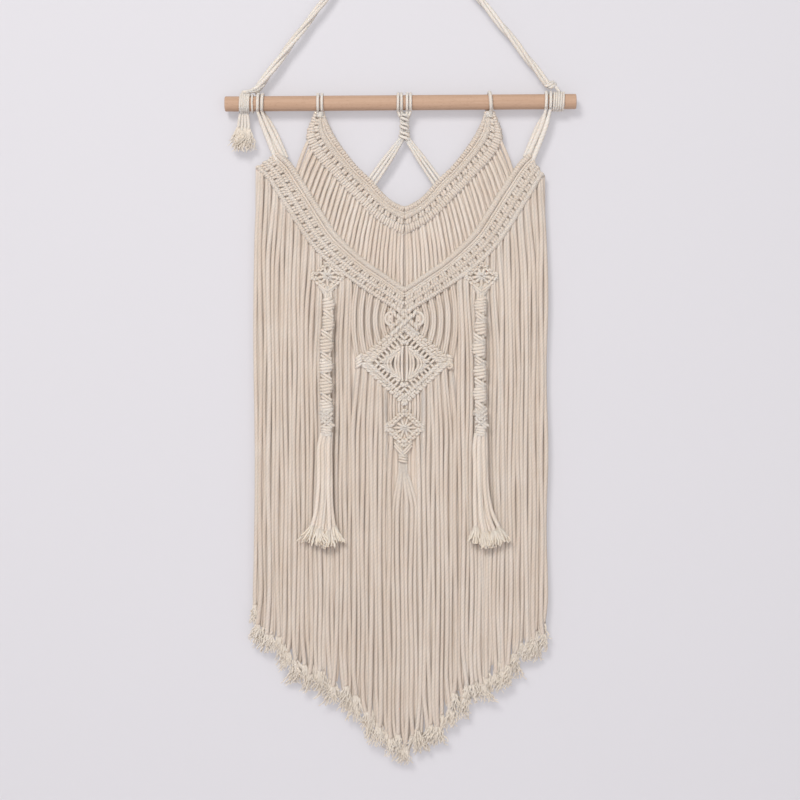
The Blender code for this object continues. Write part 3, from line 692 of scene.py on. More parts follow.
loops = {
    # how far across on the dowel, then how far across and down at the band
    "side": {-1: ((141.8, 118.0, 61), (146, 125.0, 65)),
             1: ((141.6, 120.5, 60), (146, 126.0, 63))},
    "sideRadius": 1.8,  # drawn tight round the dowel
    "sideEndRadius": 2.5,
    "sideKneeRadius": 2.7,
    # how far across, its radius and how far it slants
    "peak": {-1: ((82.4, 1.6, 0.0), (86.4, 1.6, 0.0)), 1: ((84.8, 2.0, -4.0),)},
    "middle": (-2.4, 1.0, 6.6, 10.0),  # where on the dowel
    "foot": 14,  # how far down the peak's and the middle's go
}
# The small knot under each peak's loops, and how far across it lies.
peakKnot = {"top": 8.5, "foot": 16.5, "halfWidth": 4.6, "halfDeep": 3.9, "forward": 0.3,
            "turns": 3, "radius": 1.3, "lean": 0.6}
peakAcross = 84.4
sinnet = {
    # three square knots below the four cords: from, to and half width, the last one wider
    "knots": ((10.0, 19.5, 5.6), (19.0, 28.5, 5.6), (28.0, 38.5, 6.4)),
    "halfDeep": 4.6,
    "radius": 1.7,
}
diagonals = {
    "start": Vector((2.6, 36)),  # across and down, of the middle one of three
    "startApart": Vector((1.2, -0.6)),
    "end": Vector((33.5, 80)),
    "endApart": Vector((3.1, -2.4)),
    "bow": Vector((0.5, -0.5)),
    "sway": 0.4,
    "radius": 1.9,
}


def loopRuns():
    runs = []
    for side in (-1, 1):
        # cords from the dowel to the outer end of the band
        for shift, across, down in loops["side"][side]:
            x = cloth["middle"] + side * shift
            foot = onCloth(side * across, down, -0.5)
            knee = onCloth(side * mix(shift, across, 0.3), mix(10, down, 0.33), 0.9)
            spots = roundDowel(x, loops["sideRadius"], 20, 330, 1.0)
            back = [onCloth(side * mix(shift, across, 0.45), 26, -2.5),
                    onCloth(side * across, down - 6, -2.5)]
            runs.append([(foot, loops["sideEndRadius"]), (knee, loops["sideKneeRadius"])]
                        + cordOf(spots, loops["sideRadius"])
                        + cordOf(back, loops["sideEndRadius"]))
        # the peak's cords, round the dowel and into its first knot
        for shift, radius, slant in loops["peak"][side]:
            x = cloth["middle"] + side * shift
            spots = roundDowel(x, radius, 15, 345, slant)
            foot = onCloth(side * shift + slant / 2, loops["foot"], 1.5)
            back = onCloth(side * shift, loops["foot"], -2.0)
            runs.append(cordOf([foot] + spots + [back], radius))
    for x in loops["middle"]:
        spots = roundDowel(x, cloth["tightRadius"], 15, 345)
        footX, footZ = mix(cloth["middle"], x, 0.7), dowelHeight(x) - loops["foot"]
        runs.append(cordOf([Vector((footX, -2.5, footZ))] + spots
                           + [Vector((footX, 2.5, footZ))], cloth["tightRadius"]))
    return runs


def coil(middle, top, foot, halfWidth, halfDeep, forward, turns, radius, lean):
    # close turns round a bundle of cords
    steps = 10
    spots = []
    for step in range(turns * steps + 1):
        angle = math.tau * step / steps
        down = mix(top + radius, foot - radius, step / (turns * steps))
        spots.append(onCloth(middle + (halfWidth - radius) * math.cos(angle),
                             down + lean * math.cos(angle),
                             forward + (halfDeep - radius) * math.sin(angle)))
    return cordOf(spots, radius)


def sinnetRuns():
    runs = []
    for top, foot, halfWidth in sinnet["knots"]:
        runs += squareKnot(0, (top + foot) / 2, halfWidth, (foot - top) / 2,
                           sinnet["halfDeep"], sinnet["radius"])
    return runs


def diagonalRuns():
    # three cords a side from the sinnet's foot down to the neck
    d = diagonals
    chance = random.Random(3)
    runs = []
    for side in (-1, 1):
        for k in (-1, 0, 1):
            start = d["start"] + d["startApart"] * k
            end = d["end"] + d["endApart"] * k
            middle = (start + end) / 2 + d["bow"] * k
            middle.x += chance.uniform(-1, 1) * d["sway"]
            runs.append(cordOf([onCloth(side * spot.x, spot.y, forward) for spot, forward in
                                ((start, 0), (middle, 0.6), (end, -0.5))], d["radius"]))
    return runs


peakKnots = [coil(side * peakAcross, **peakKnot) for side in (-1, 1)]
makeCords("dowel_loops", loopRuns() + sinnetRuns() + diagonalRuns() + peakKnots,
          paintedTopLightCotton, "looped")


# Strands from the neck to the band.

upperStrands = {
    "count": 27,  # a side
    "reach": 104,  # how far across the outermost one lies half way down
    "spread": 13,  # how much farther out a strand meets the band than it left the neck
    "spreadOver": 58,  # and how far from the middle it takes to reach that
    "pairing": 0.5,  # two from one knot start this far closer together
    "sway": 0.3,
    "radius": 2.1,
    "ends": (0.9, 0.12),  # where on the neck they start and on the band they end
    "behindRadius": 2.0,
    "behindForward": -2.6,
}


def rowDown(line, place, across):
    # how far down a row lies at a spot across
    spots = [bandSpot(line, k / 60, place) for k in range(61)]
    for outer, inner in zip(spots, spots[1:]):
        if inner.x <= across <= outer.x:
            return mix(inner.y, outer.y, (across - inner.x) / max(0.001, outer.x - inner.x))
    return spots[0].y


def upperEnds(across):
    # where a strand that lies this far across half way down starts and ends
    u = upperStrands
    lean = u["spread"] / 2 * min(1, across / u["spreadOver"])
    onNeck, onBand = u["ends"]
    return (Vector((across - lean, rowDown(neckLine, onNeck, across - lean))),
            Vector((across + lean, rowDown(bandLine, onBand, across + lean))))


def upperRuns():
    u = upperStrands
    chance = random.Random(5)
    runs = []
    for side in (-1, 1):
        for k, share in enumerate(evenShares(u["count"])):
            start, end = upperEnds(u["reach"] * share)
            pair = -u["pairing"] if k % 2 else u["pairing"]
            spots = [onCloth(side * (start.x + pair), start.y, 0)]
            for part in (0.25, 0.5, 0.75):
                across = mix(start.x, end.x, part) + chance.uniform(-1, 1) * u["sway"]
                bow = math.sin(math.pi * part) * 0.8 + 0.3 * pair
                spots.append(onCloth(side * (across + bow), mix(start.y, end.y, part),
                                     (0.5 if k % 2 else -0.3) + chance.uniform(-0.3, 0.3)))
            spots.append(onCloth(side * (end.x + pair * 0.8), end.y, -0.5))
            radius = u["radius"] * chance.uniform(0.95, 1.05)
            tapers = (0.75, 1, 1, 1, 0.75)
            runs.append([(spot, radius * taper) for spot, taper in zip(spots, tapers)])
            # one of those behind, in the gap
            runs.append(cordOf([onCloth(side * spot.x, spot.y, u["behindForward"])
                                for spot in upperEnds(u["reach"] * k / u["count"])],
                               u["behindRadius"]))
    return runs


makeCords("upper_strands", upperRuns(), cotton)


# Diamonds: each side of a frame from one corner to the next, outer edge then inner edge.

largeDiamond = {
    "corners": [(0, 217.5, 0, 229.5), (50.0, 257.5, 32, 261), (0, 305, 0, 291)],
    "bars": {
        "outer": {"from": 0.0, "to": 0.47, "hitches": 12, "radius": 1.55, "deep": 3.8,
                  "pairing": 0.22, "bead": 0.12},
        "inner": {"from": 0.53, "to": 1.0, "hitches": 11, "radius": 1.6, "deep": 4.1,
                  "pairing": 0.18, "bead": 0.1},
    },
    "lacing": {"from": 0.4, "to": 0.6, "holes": 7, "cords": 3, "radius": 1.8, "forward": 1.6},
    "backing": {"down": 261, "halfWidth": 33, "halfHeight": 32, "pitch": 3.6},
    # ties the rows of two sides together at each outer corner
    "cornerKnot": {"across": 45.4, "top": 251.5, "foot": 266.5, "halfWidth": 4.4,
                   "halfDeep": 4.4, "forward": 0.7, "turns": 4, "radius": 1.8, "lean": 1.5},
}
smallDiamond = {
    "corners": [(0, 304.0, 0, 313.6), (22.5, 325, 12.4, 325), (0, 347, 0, 336.4)],
    "bars": {
        "outer": {"from": 0.0, "to": 0.6, "hitches": 5, "radius": 1.7, "deep": 3.9,
                  "pairing": 0.25, "bead": 0.1},
        "inner": {"from": 0.4, "to": 1.0, "hitches": 4, "radius": 1.7, "deep": 4.5,
                  "pairing": 0.2, "bead": 0.1},
    },
    "backing": {"down": 325, "halfWidth": 14, "halfHeight": 12, "pitch": 3.4},
    "cornerKnot": {"across": 18.2, "top": 320.0, "foot": 330.5, "halfWidth": 3.2,
                   "halfDeep": 3.7, "forward": 0.5, "turns": 3, "radius": 1.5, "lean": 1.1},
    "sun": {"down": 325, "inner": 1.0, "outer": 11.5, "rays": 10, "radius": 1.55},
    "middleKnot": {"down": 325, "halfWidth": 4.6, "halfHeight": 3.4, "deep": 3.8,
                   "radius": 1.4},
}
sideDiamond = {
    "middle": 77,
    "corners": [(0, 157.5, 0, 164.2), (17.8, 173.4, 10.6, 173.4), (0, 198.5, 0, 183.4)],
    "bars": {
        "outer": {"from": 0.0, "to": 0.6, "hitches": 4, "radius": 1.4, "deep": 3.2,
                  "pairing": 0.3, "bead": 0.12},
        "inner": {"from": 0.4, "to": 1.0, "hitches": 3, "radius": 1.4, "deep": 3.8,
                  "pairing": 0.25, "bead": 0.12},
    },
    "lowerBars": {
        "outer": {"from": 0.0, "to": 0.56, "hitches": 5, "radius": 1.65, "deep": 3.7,
                  "pairing": 0.25, "bead": 0.12},
        "inner": {"from": 0.42, "to": 1.0, "hitches": 4, "radius": 1.65, "deep": 4.1,
                  "pairing": 0.25, "bead": 0.12},
    },
    "backing": {"down": 175, "halfWidth": 12, "halfHeight": 11, "pitch": 3.2},
    "cornerKnot": {"across": 15.0, "top": 168.6, "foot": 178.6, "halfWidth": 2.8,
                   "halfDeep": 3.4, "forward": 0.4, "turns": 3, "radius": 1.45, "lean": 0.9},
    "sun": {"down": 173.6, "inner": 1.0, "outer": 10.4, "rays": 9, "radius": 1.85},
    "middleKnot": {"down": 173.6, "halfWidth": 5.6, "halfHeight": 4.2, "deep": 3.8,
                   "radius": 1.45, "fillers": 3},
    # its cords come together again over the drop's head: across, down and forward of the
    # first of three from each side, and how much farther across and down each next one is
    "headCords": (((8.5, 182, 2.4), (-1.8, 3.2)), ((2.5, 187, 4.0), (-0.6, 3.2)),
                  ((-3.4, 191, 3.0), (0.0, 3.0))),
    "headRadius": 1.6,
}


def frameRuns(diamond, middle):
    top, corner, foot = [Vector(edges) for edges in diamond["corners"]]
    runs = []
    for side in (-1, 1):
        for end in (top, foot):
            bars = diamond["bars"]
            if end is foot:
                bars = diamond.get("lowerBars", bars)
            for bar in bars.values():
                runs.append(hitchedBar([end, corner], side, bar, middle))
            if "lacing" in diamond:
                runs += lacing([end, corner], side, diamond["lacing"])
    return runs


def cornerKnot(diamond, middle, side):
    knot = dict(diamond["cornerKnot"])
    across = knot.pop("across")
    knot["lean"] *= side
    return coil(middle + side * across, **knot)


def sunRuns(middle, down, inner, outer, rays, radius):
    # short cords from a small knot out to the frame round it
    chance = random.Random(rays)
    runs = []
    for ray in range(rays):
        angle = math.tau * (ray + 0.5) / rays
        turn = Vector((math.sin(angle), -math.cos(angle)))
        spots = []
        for part in (0, 0.5, 1):
            reach = mix(inner, outer, part)
            spots.append(onCloth(middle + turn.x * reach * 1.12, down + turn.y * reach,
                                 mix(2.0, -0.8, part) + chance.uniform(-0.2, 0.2)))
        runs.append(cordOf(spots, radius))
    return runs


def backing(middle, down, halfWidth, halfHeight, pitch, forward=-2.6, radius=1.95):
    # the working cords that lie behind a knotted diamond
    runs = []
    count = int(halfWidth / pitch)
    for k in range(-count, count + 1):
        reach = halfHeight * (1 - abs(k) * pitch / halfWidth) + 1.5
        runs.append(cordOf([onCloth(middle + k * pitch, down + reach * end, forward)
                            for end in (-1, 0, 1)], radius))
    return runs


def mirrored(spots, side, level, flip):
    # spots given for a quarter: across, up or down from the level, forward
    return [onCloth(side * across, level + flip * below, forward)
            for across, below, forward in spots]


# Inside the large diamond, given for one quarter and mirrored for the others. Upright cords
# are held by one wide knot, whose cords turn round a small hole at each side.
inside = {
    "level": 261,  # how far down its middle lies
    # how far across, down from the level and forward each cord goes
    "cords": [
        [(22.0, 1.0, 1.9), (15.5, 7.0, 2.2), (9.6, 11.6, 2.6), (3.8, 15.4, 2.9)],
        [(2.6, 0, 2.9), (2.5, 8, 2.8), (2.0, 17.5, 2.0)],
        [(6.1, 0, 2.8), (5.8, 7, 2.6), (4.0, 15.0, 1.8)],
        [(9.2, 0, 2.5), (8.6, 5.5, 2.4), (6.4, 12.8, 1.7)],
        [(14.0, 0, 2.8), (13.2, 4.0, 2.7), (10.8, 7.8, 2.4), (8.2, 11.0, 1.9)],
        [(17.1, 0, 2.4), (16.1, 3.6, 2.4), (13.6, 7.0, 2.2), (10.8, 10.0, 1.7)],
        [(20.1, 0, 2.0), (18.8, 2.8, 2.0), (16.6, 5.4, 1.9), (14.0, 8.0, 1.6)],
    ],
    "cordRadius": 1.65,
    # a row of hitches round them, its outer then its inner edge: up or down at the middle,
    # and across at the corner
    "barEnd": (26.2, 18.6),
    "barCorner": (28.2, 20.6),
    "bar": {"from": 0.0, "to": 1.0, "hitches": 5, "radius": 1.75, "deep": 4.3,
            "pairing": 0.25, "bead": 0.12},
    # short cords from the frame to that row, with a hole between each two
    "frame": (32, 31),  # the frame's inner corners, across and down from the level
    "holes": 10,  # a side
    # how far out from the frame's edge, the same down, and forward
    "short": [(1.0, 1.0, 1.6), (-1.4, -1.4, 1.9), (-3.6, -3.8, 1.2)],
    "shortRadius": 1.5,
}
# The band's two lowest rows run on, over and under each other, into the diamond.
crossing = {
    "bar": {"from": 0.0, "to": 1.0, "hitches": 6, "radius": 1.65, "deep": 3.9,
            "pairing": 0.3, "bead": 0.14},
    "start": (-13, 228.5),  # across and down
    "end": (13, 204.5),
    "shift": 3.6,  # up or down from there, for each of the two
    "halfHeight": 3.4,
    "over": 1.0,
    "under": -0.6,
    # two cords curl round beside them, each this far out and up from its middle
    "curlMiddle": (13, 216),
    "curls": ((2.2, 2.6), (6.2, 6.5)),
    "curlFrom": -100,  # degrees
    "curlTurn": 200,
    "curlForward": 0.8,
    "curlRadius": 1.7,
}
# Where the small diamond's cords cross and are gathered again below it.
centreKnot = {
    "across": -1.5,
    "gather": {"top": 351, "foot": 362, "halfWidth": 5.4, "halfDeep": 4.4, "forward": 0.8,
               "turns": 3, "radius": 1.5, "lean": 1.1},
    # how far to one side, down and forward each crossing cord goes
    "cords": [(8.5, 340, 1.0), (3.0, 346.5, 3.4), (-3.4, 352, 2.4)],
    "shifts": (0, 3),  # down
    "radius": 1.4,
}
cornerRing = {"middle": 45.4, "down": 263.3, "reach": 2.5, "forward": 4.6, "radius": 1.4}


def insideRuns():
    level = inside["level"]
    frameAcross, frameDown = inside["frame"]
    runs = backing(0, **largeDiamond["backing"])
    for side in (-1, 1):
        for flip in (-1, 1):
            outer, inner = inside["barEnd"]
            end = Vector((0, level - flip * outer, 0, level - flip * inner))
            outer, inner = inside["barCorner"]
            corner = Vector((outer, level, inner, level))
            runs.append(hitchedBar([end, corner], side, inside["bar"]))
            for cord in inside["cords"]:
                runs.append(cordOf(mirrored(cord, side, level, flip), inside["cordRadius"]))
            for hole in range(1, inside["holes"]):
                share = hole / inside["holes"]
                spots = [(frameAcross * share + out, frameDown * (1 - share) + below, forward)
                         for out, below, forward in inside["short"]]
                runs.append(cordOf(mirrored(spots, side, level, flip), inside["shortRadius"]))
    return runs


def crossingRuns():
    c = crossing
    (startX, startDown), (endX, endDown) = c["start"], c["end"]
    middle, level = c["curlMiddle"]
    high = c["halfHeight"]
    runs = []
    for side in (-1, 1):
        for shift in (-c["shift"], c["shift"]):
            start = Vector((startX, startDown + shift - high, startX, startDown + shift + high))
            end = Vector((endX, endDown + shift - high, endX, endDown + shift + high))
            forward = c["over"] if (side > 0) == (shift > 0) else c["under"]
            runs.append(hitchedBar([start, end], side, c["bar"], 0, forward))
        for out, up in c["curls"]:
            spots = []
            for step in range(7):
                angle = math.radians(c["curlFrom"] + c["curlTurn"] * step / 6)
                spots.append(onCloth(side * (middle + out * math.cos(angle)),
                                     level + up * math.sin(angle), c["curlForward"]))
            runs.append(cordOf(spots, c["curlRadius"]))
    return runs


def centreKnotRuns():
    c = centreKnot
    return [coil(c["across"], **c["gather"])] + [
        cordOf([onCloth(c["across"] + lean * beside, down + shift, forward)
                for beside, down, forward in c["cords"]], c["radius"])
        for lean in (-1, 1) for shift in c["shifts"]]


def ring(middle, down, reach, forward, radius):
    # one round turn that lies flat on the cloth
    spots = []
    for step in range(12):
        angle = math.radians(200 + 350 * step / 11)
        spots.append(onCloth(middle + reach * math.cos(angle), down - reach * math.sin(angle),
                             forward + 0.8 * math.sin(angle / 2)))
    return cordOf(spots, radius)


def headRuns(middle):
    # the cords that come together over a drop's head
    return [cordOf([onCloth(middle + lean * (beside + nextBeside * step),
                            down + nextDown * step, forward)
                    for (beside, down, forward), (nextBeside, nextDown)
                    in sideDiamond["headCords"]], sideDiamond["headRadius"])
            for lean in (-1, 1) for step in range(3)]


diamondRuns = frameRuns(largeDiamond, 0) + frameRuns(smallDiamond, 0) + insideRuns()
diamondRuns += crossingRuns() + centreKnotRuns() + backing(0, **smallDiamond["backing"])
for side in (-1, 1):
    diamondRuns += [cornerKnot(largeDiamond, 0, side), cornerKnot(smallDiamond, 0, side)]
diamondRuns.append(ring(**cornerRing))
diamondRuns += sunRuns(0, **smallDiamond["sun"])
diamondRuns += squareKnot(0, **smallDiamond["middleKnot"])
for side in (-1, 1):
    middle = side * sideDiamond["middle"]
    diamondRuns += frameRuns(sideDiamond, middle) + backing(middle, **sideDiamond["backing"])
    diamondRuns += sunRuns(middle, **sideDiamond["sun"])
    diamondRuns += squareKnot(middle, **sideDiamond["middleKnot"])
    diamondRuns += [cornerKnot(sideDiamond, middle, end) for end in (-1, 1)]
    diamondRuns += headRuns(middle)
makeCords("diamonds", diamondRuns, paintedLitKnotCotton, "tight")


# Fringe: strands from the band, some of them by way of the diamonds, down to the hem.

fringe = {
    "gathered": 14,  # strands a side that the large diamond takes up
    "gatheredWidth": 51,  # how far from the middle they start and end
    "bow": 4.2,  # how far out they bow above the diamond
    "free": 26,  # and the others
    "startWidth": {-1: 147.5, 1: 139.5},  # the outermost strand's start
    "width": {-1: 150.5, 1: 142.8},  # and its tip
    "spread": 1.04,  # how much wider the gathered ones hang below it
    "behind": 9,  # of every so many strands one hangs behind the others
    "forward": (-0.7, 0.7, -3.6),  # where they hang: every other one, and those behind
    # how far across the gathered ones go from the large diamond into the small one
    "small": (1.8, 5.0, 10.2, 13.4, 18.3),
    "converging": (1.5, 4.4, 7.3),  # and on into the knot below it
    "pairing": 0.75,  # two from one knot start this far closer together
    "start": 0.95,  # where on the band they start
    "headWidth": 15,  # this near to a drop's middle a strand goes through its diamond
    "shortRadius": 1.75,  # between two knots
    "fray": 20,
    "uneven": 7,  # how far each tip may lie off the hem's line
    "sway": 0.8,
    "swayLength": (130, 300),
    "bend": 2.8,  # how far a strand may turn aside near its tip
    "loose": 50,  # and over what length
}
# The fringe's rear layer.
rearLayer = {
    "pitch": 4.2,
    "forward": -2.8,
    "bowedForward": -4.0,  # behind the strands that bow out above the large diamond
    "bowedDown": 250,
    "inset": 2.5,  # how much narrower it is than the front
    "spacing": 40,  # down from one spot of a strand to the next
    "tipRadius": 0.9,
}

# The hem's line from the middle out: across and down.
hem = [(0, 658), (12, 653), (20, 646), (30, 642), (40, 628), (55, 612), (70, 601), (85, 590),
       (104, 577), (118, 563), (135, 551), (151, 524)]


def hemDown(across):
    for (a, up), (b, down) in zip(hem, hem[1:]):
        if across <= b:
            return mix(up, down, (across - a) / (b - a))
    return hem[-1][1]


def hangingRun(start, across, side, forward, chance, settle=70, begin=()):
    # one strand from its knot down to where its end begins to fray; settle is how far down
    # it comes to hang straight, and begin holds its spots before start where it doesn't
    # come straight from a knot
    f = fringe
    tip = hemDown(across) + chance.uniform(-1, 1) * f["uneven"] - f["fray"]
    phase, turn = chance.uniform(0, math.tau), chance.uniform(*f["swayLength"])
    bend = chance.uniform(-1, 1) * f["bend"]
    radius = cloth["cordRadius"] * chance.uniform(0.94, 1.05)
    # thinner where a knot holds it
    run = [(onCloth(side * a, d, 0), radius * 0.72) for a, d in begin]
    if not begin:
        run.append((onCloth(side * start.x, start.y - 2.5, -0.5), radius * 0.7))
    run.append((onCloth(side * start.x, start.y + 1.5, 0.3), radius * 0.75))
    run.append((onCloth(side * start.x, start.y + 9, forward * 0.4), radius))
    down = start.y + 0.25 * settle
    while down < tip - 8:
        share = min(1, (down - start.y) / settle)
        eased = share * share * (3 - 2 * share)
        loose = max(0, 1 - (tip - down) / f["loose"]) ** 2
        run.append((onCloth(
            side * (mix(start.x, across, eased) + bend * loose)
            + share * f["sway"] * math.sin(phase + math.tau * down / turn),
            down,
            forward * eased
            + share * f["sway"] * math.sin(phase * 2 + math.tau * down / turn)), radius))
        down += 0.25 * settle if down < start.y + settle else 22
    run.append((onCloth(side * (across + bend * 1.3), tip, forward), radius))
    return run


def shortRun(start, end, side, bow, radius):
    # a strand between two knots that bows outwards
    spots = [onCloth(side * start.x, start.y - 2, -0.5)]
    for share in (0.12, 0.36, 0.64, 0.88):
        out = bow * math.sin(math.pi * share) ** 0.8
        spots.append(onCloth(side * (mix(start.x, end.x, share) + out),
                             mix(start.y, end.y, share), 0.5))
    spots.append(onCloth(side * end.x, end.y + 1, -0.5))
    tapers = (0.75, 0.85, 1, 1, 0.9, 0.75)
    return [(spot, radius * taper) for spot, taper in zip(spots, tapers)]


def sideOf(diamond, across, lower, place=0.15):
    # the spot across on a diamond's outer half
    top, corner, foot = [Vector(edges) for edges in diamond["corners"]]
    row = [foot if lower else top, corner]
    width = bandSpot(row, 1, place).x
    return bandSpot(row, min(1, across / width), place)


def fringeRuns():
    f = fringe
    chance = random.Random(8)
    runs, tips = {-1: [], 1: []}, []

    def hang(start, across, side, forward, settle=70, begin=()):
        run = hangingRun(start, across, side, forward, chance, settle, begin)
        runs[side].append(run)
        tips.append(run)

    def place(k, start, width, count):
        # the strands in front share the width, and those behind hang between them
        inFront = [n for n in range(count) if n % f["behind"] != f["behind"] // 2]
        before = sum(1 for n in inFront if n < k)
        across = start + width * (before + (0.5 if k in inFront else 0)) / len(inFront)
        forward = f["forward"][before % 2 if k in inFront else 2]
        return across, forward + chance.uniform(-0.3, 0.3)

    knotTop = centreKnot["gather"]["top"]
    knotFoot = centreKnot["gather"]["foot"] + 1
    gatheredTips = f["gatheredWidth"] * f["spread"]
    for side in (-1, 1):
        for k, share in enumerate(evenShares(f["gathered"])):
            low, forward = place(k, 0, gatheredTips, f["gathered"])
            pair = -f["pairing"] if k % 2 else f["pairing"]
            across = f["gatheredWidth"] * share + pair
            start = Vector((across, rowDown(bandLine, f["start"], across)))
            into = sideOf(largeDiamond, across * 0.98, False)
            bow = f["bow"] * min(1, k / 3)  # none at the middle, all of it from the fourth
            runs[side].append(shortRun(start, into, side, bow, f["shortRadius"]))
            out = sideOf(largeDiamond, across, True)
            if k < len(f["small"]):
                across = f["small"][k]
                into = sideOf(smallDiamond, across, False)
                out = sideOf(largeDiamond, across, True)
                runs[side].append(shortRun(out, into, side, 0.5, f["shortRadius"]))
                if k < len(f["converging"]):
                    across = f["converging"][k]
                out = sideOf(smallDiamond, across, True)
            if k < len(f["converging"]):
                # drawn together by the knot and apart again below it
                near = side * centreKnot["across"] + 0.7 + k * 1.3
                begin = [(out.x, out.y - 3), (mix(out.x, near, 0.5), out.y + 4),
                         (near, knotTop), (near, mix(knotTop, knotFoot, 0.5))]
                hang(Vector((near, knotFoot)), low, side, forward, 44, begin)
            else:
                hang(out, low, side, forward)
        for k, share in enumerate(evenShares(f["free"])):
            pair = -f["pairing"] if k % 2 else f["pairing"]
            across = mix(f["gatheredWidth"] + 0.5, f["startWidth"][side], share) + pair
            start = Vector((across, rowDown(bandLine, f["start"], across)))
            across, forward = place(k, gatheredTips, f["width"][side] - gatheredTips,
                                    f["free"])
            beside = start.x - sideDiamond["middle"]
            if abs(beside) < f["headWidth"]:
                inward = -1 if beside < 0 else 1
                into = sideOf(sideDiamond, abs(beside), False)
                out = sideOf(sideDiamond, abs(beside), True)
                middle = Vector((sideDiamond["middle"], 0))
                into = middle + Vector((inward * into.x, into.y))
                out = middle + Vector((inward * out.x, out.y))
                if into.y - start.y > 4:
                    runs[side].append(shortRun(start, into, side, 0, 2.0))
                # they hang behind the drop
                behind = -1.5 * max(0, 1 - abs(beside) / 14)
                hang(out, across, side, forward + behind)
            else:
                hang(start, across, side, forward)
    return runs, tips


def behindRuns():
    # seen only in the gaps between the strands in front
    r = rearLayer
    chance = random.Random(14)
    runs = []
    left, right = (int((fringe["width"][side] - r["inset"]) / r["pitch"]) for side in (-1, 1))
    for k in range(-left, right + 1):
        across = k * r["pitch"]
        down = rowDown(bandLine, 0.9, abs(across))
        tip = hemDown(abs(across)) - fringe["fray"] + chance.uniform(-6, 8)
        spots = []
        while down < tip:
            bowed = abs(across) < fringe["gatheredWidth"] and down < r["bowedDown"]
            forward = r["bowedForward"] if bowed else r["forward"]
            spots.append(onCloth(across + chance.uniform(-0.5, 0.5), down, forward))
            down += r["spacing"]
        run = cordOf(spots, cloth["cordRadius"])
        run.append((onCloth(across + chance.uniform(-1, 1), tip, r["forward"]),
                    r["tipRadius"]))
        runs.append(run)
    return runs


fringeSides, fringeTips = fringeRuns()
for side, name in ((-1, "fringe_left"), (1, "fringe_right")):
    makeCords(name, fringeSides[side], paintedShadeFringeCotton, "fringe")
makeCords("fringe_behind", behindRuns(), paintedShadeFringeCotton, "behind")


# Drops: a sinnet of half knots that turns as it goes down, a gathering knot and a tassel.

drop = {
    "forward": 10.4,  # its middle, from the dowel's axis
    "rootForward": 5.1,  # and where it comes out of its diamond
    "start": 194,
    "halfDeep": 4.4,
    "cordRadius": 2.15,
    # each bulge: from and to how far down, its half width and how far across its middle is
    "bulges": {
        -1: ((194, 211, 6.9, 75.2), (212, 231, 6.9, 75.6), (232, 253, 7.7, 77.4),
             (254, 273, 7.6, 77.8), (274, 294, 7.6, 77.8), (295, 317, 7.5, 77.6)),
        1: ((194, 213, 7.1, 75.4), (214, 235, 7.0, 75.4), (236, 257, 7.6, 74.0),
            (258, 279, 7.4, 75.0), (280, 302, 7.5, 74.8), (303, 317, 7.5, 75.2)),
    },
    "waist": 0.72,  # its half width between two bulges, as a share of a bulge's
    "notch": 0.9,  # how far to the outer side the sinnet lies there, in widths lost
    "barPitch": 4.0,  # from one bar down to the next
    # the cord that crosses between two bulges, twice: across in half widths, down from the
    # lower bulge's top, and forward from the sinnet's middle
    "crossing": [(-0.66, -4.5, 1.2), (0, -1, 2.8), (0.66, 2.5, 1.4)],
    "crossingShifts": (0, 3.4),
    "crossingRadius": 1.75,
    # the cords it is knotted round: across, at their root and beside the bulges' middles
    "coreAcross": 76.2,
    "cores": (-2.6, 0, 2.6),
    "coreRadius": 1.9,
    # the gathering knot: its middle, its turns, the ends that cross over it and its stub
    "gatherAcross": {-1: 77.4, 1: 75.8},
    "gather": {"top": 322, "foot": 336, "halfWidth": 6.2, "halfDeep": 4.4, "forward": 10.4,
               "turns": 4, "radius": 1.9, "lean": 1.0},
    "ends": [(-5.4, 315, 1.2), (-1.2, 319.5, 3.1), (5.2, 324.5, 1.6)],
    "endShifts": (-9, -4.5, 0),
    "stub": [(2, 320.5, 2.0), (5.4, 321.8, 1.8), (7.6, 322.6, 1.2)],
    "endRadius": 1.7,
}
tassel = {
    "across": {-1: 79.3, 1: 75.3},
    # how far across each strand is at its top and its tip, and forward
    "strands": ((-1.0, -1.0, 0.6), (-0.8, -0.6, -1.8), (-0.3, -0.32, 1.4), (0.02, -0.06, 0.2),
                (0.3, 0.24, -1.8), (0.62, 0.6, 1.6), (0.96, 1.0, -0.6)),
    "strandRadius": 2.3,
    "halfWidth": 5.6,
    "tipsAcross": 79.5,
    "spread": {-1: (-12.5, 9.5), 1: (-9.0, 14.0)},  # the tips beside there, left to right
    # they hang together and flare near their tips
    "flare": 0.95,
    "flarePower": 4.4,
    "rounding": 4,  # how much shorter the outer strands are
    "foot": 445,
    "fray": 17,
}


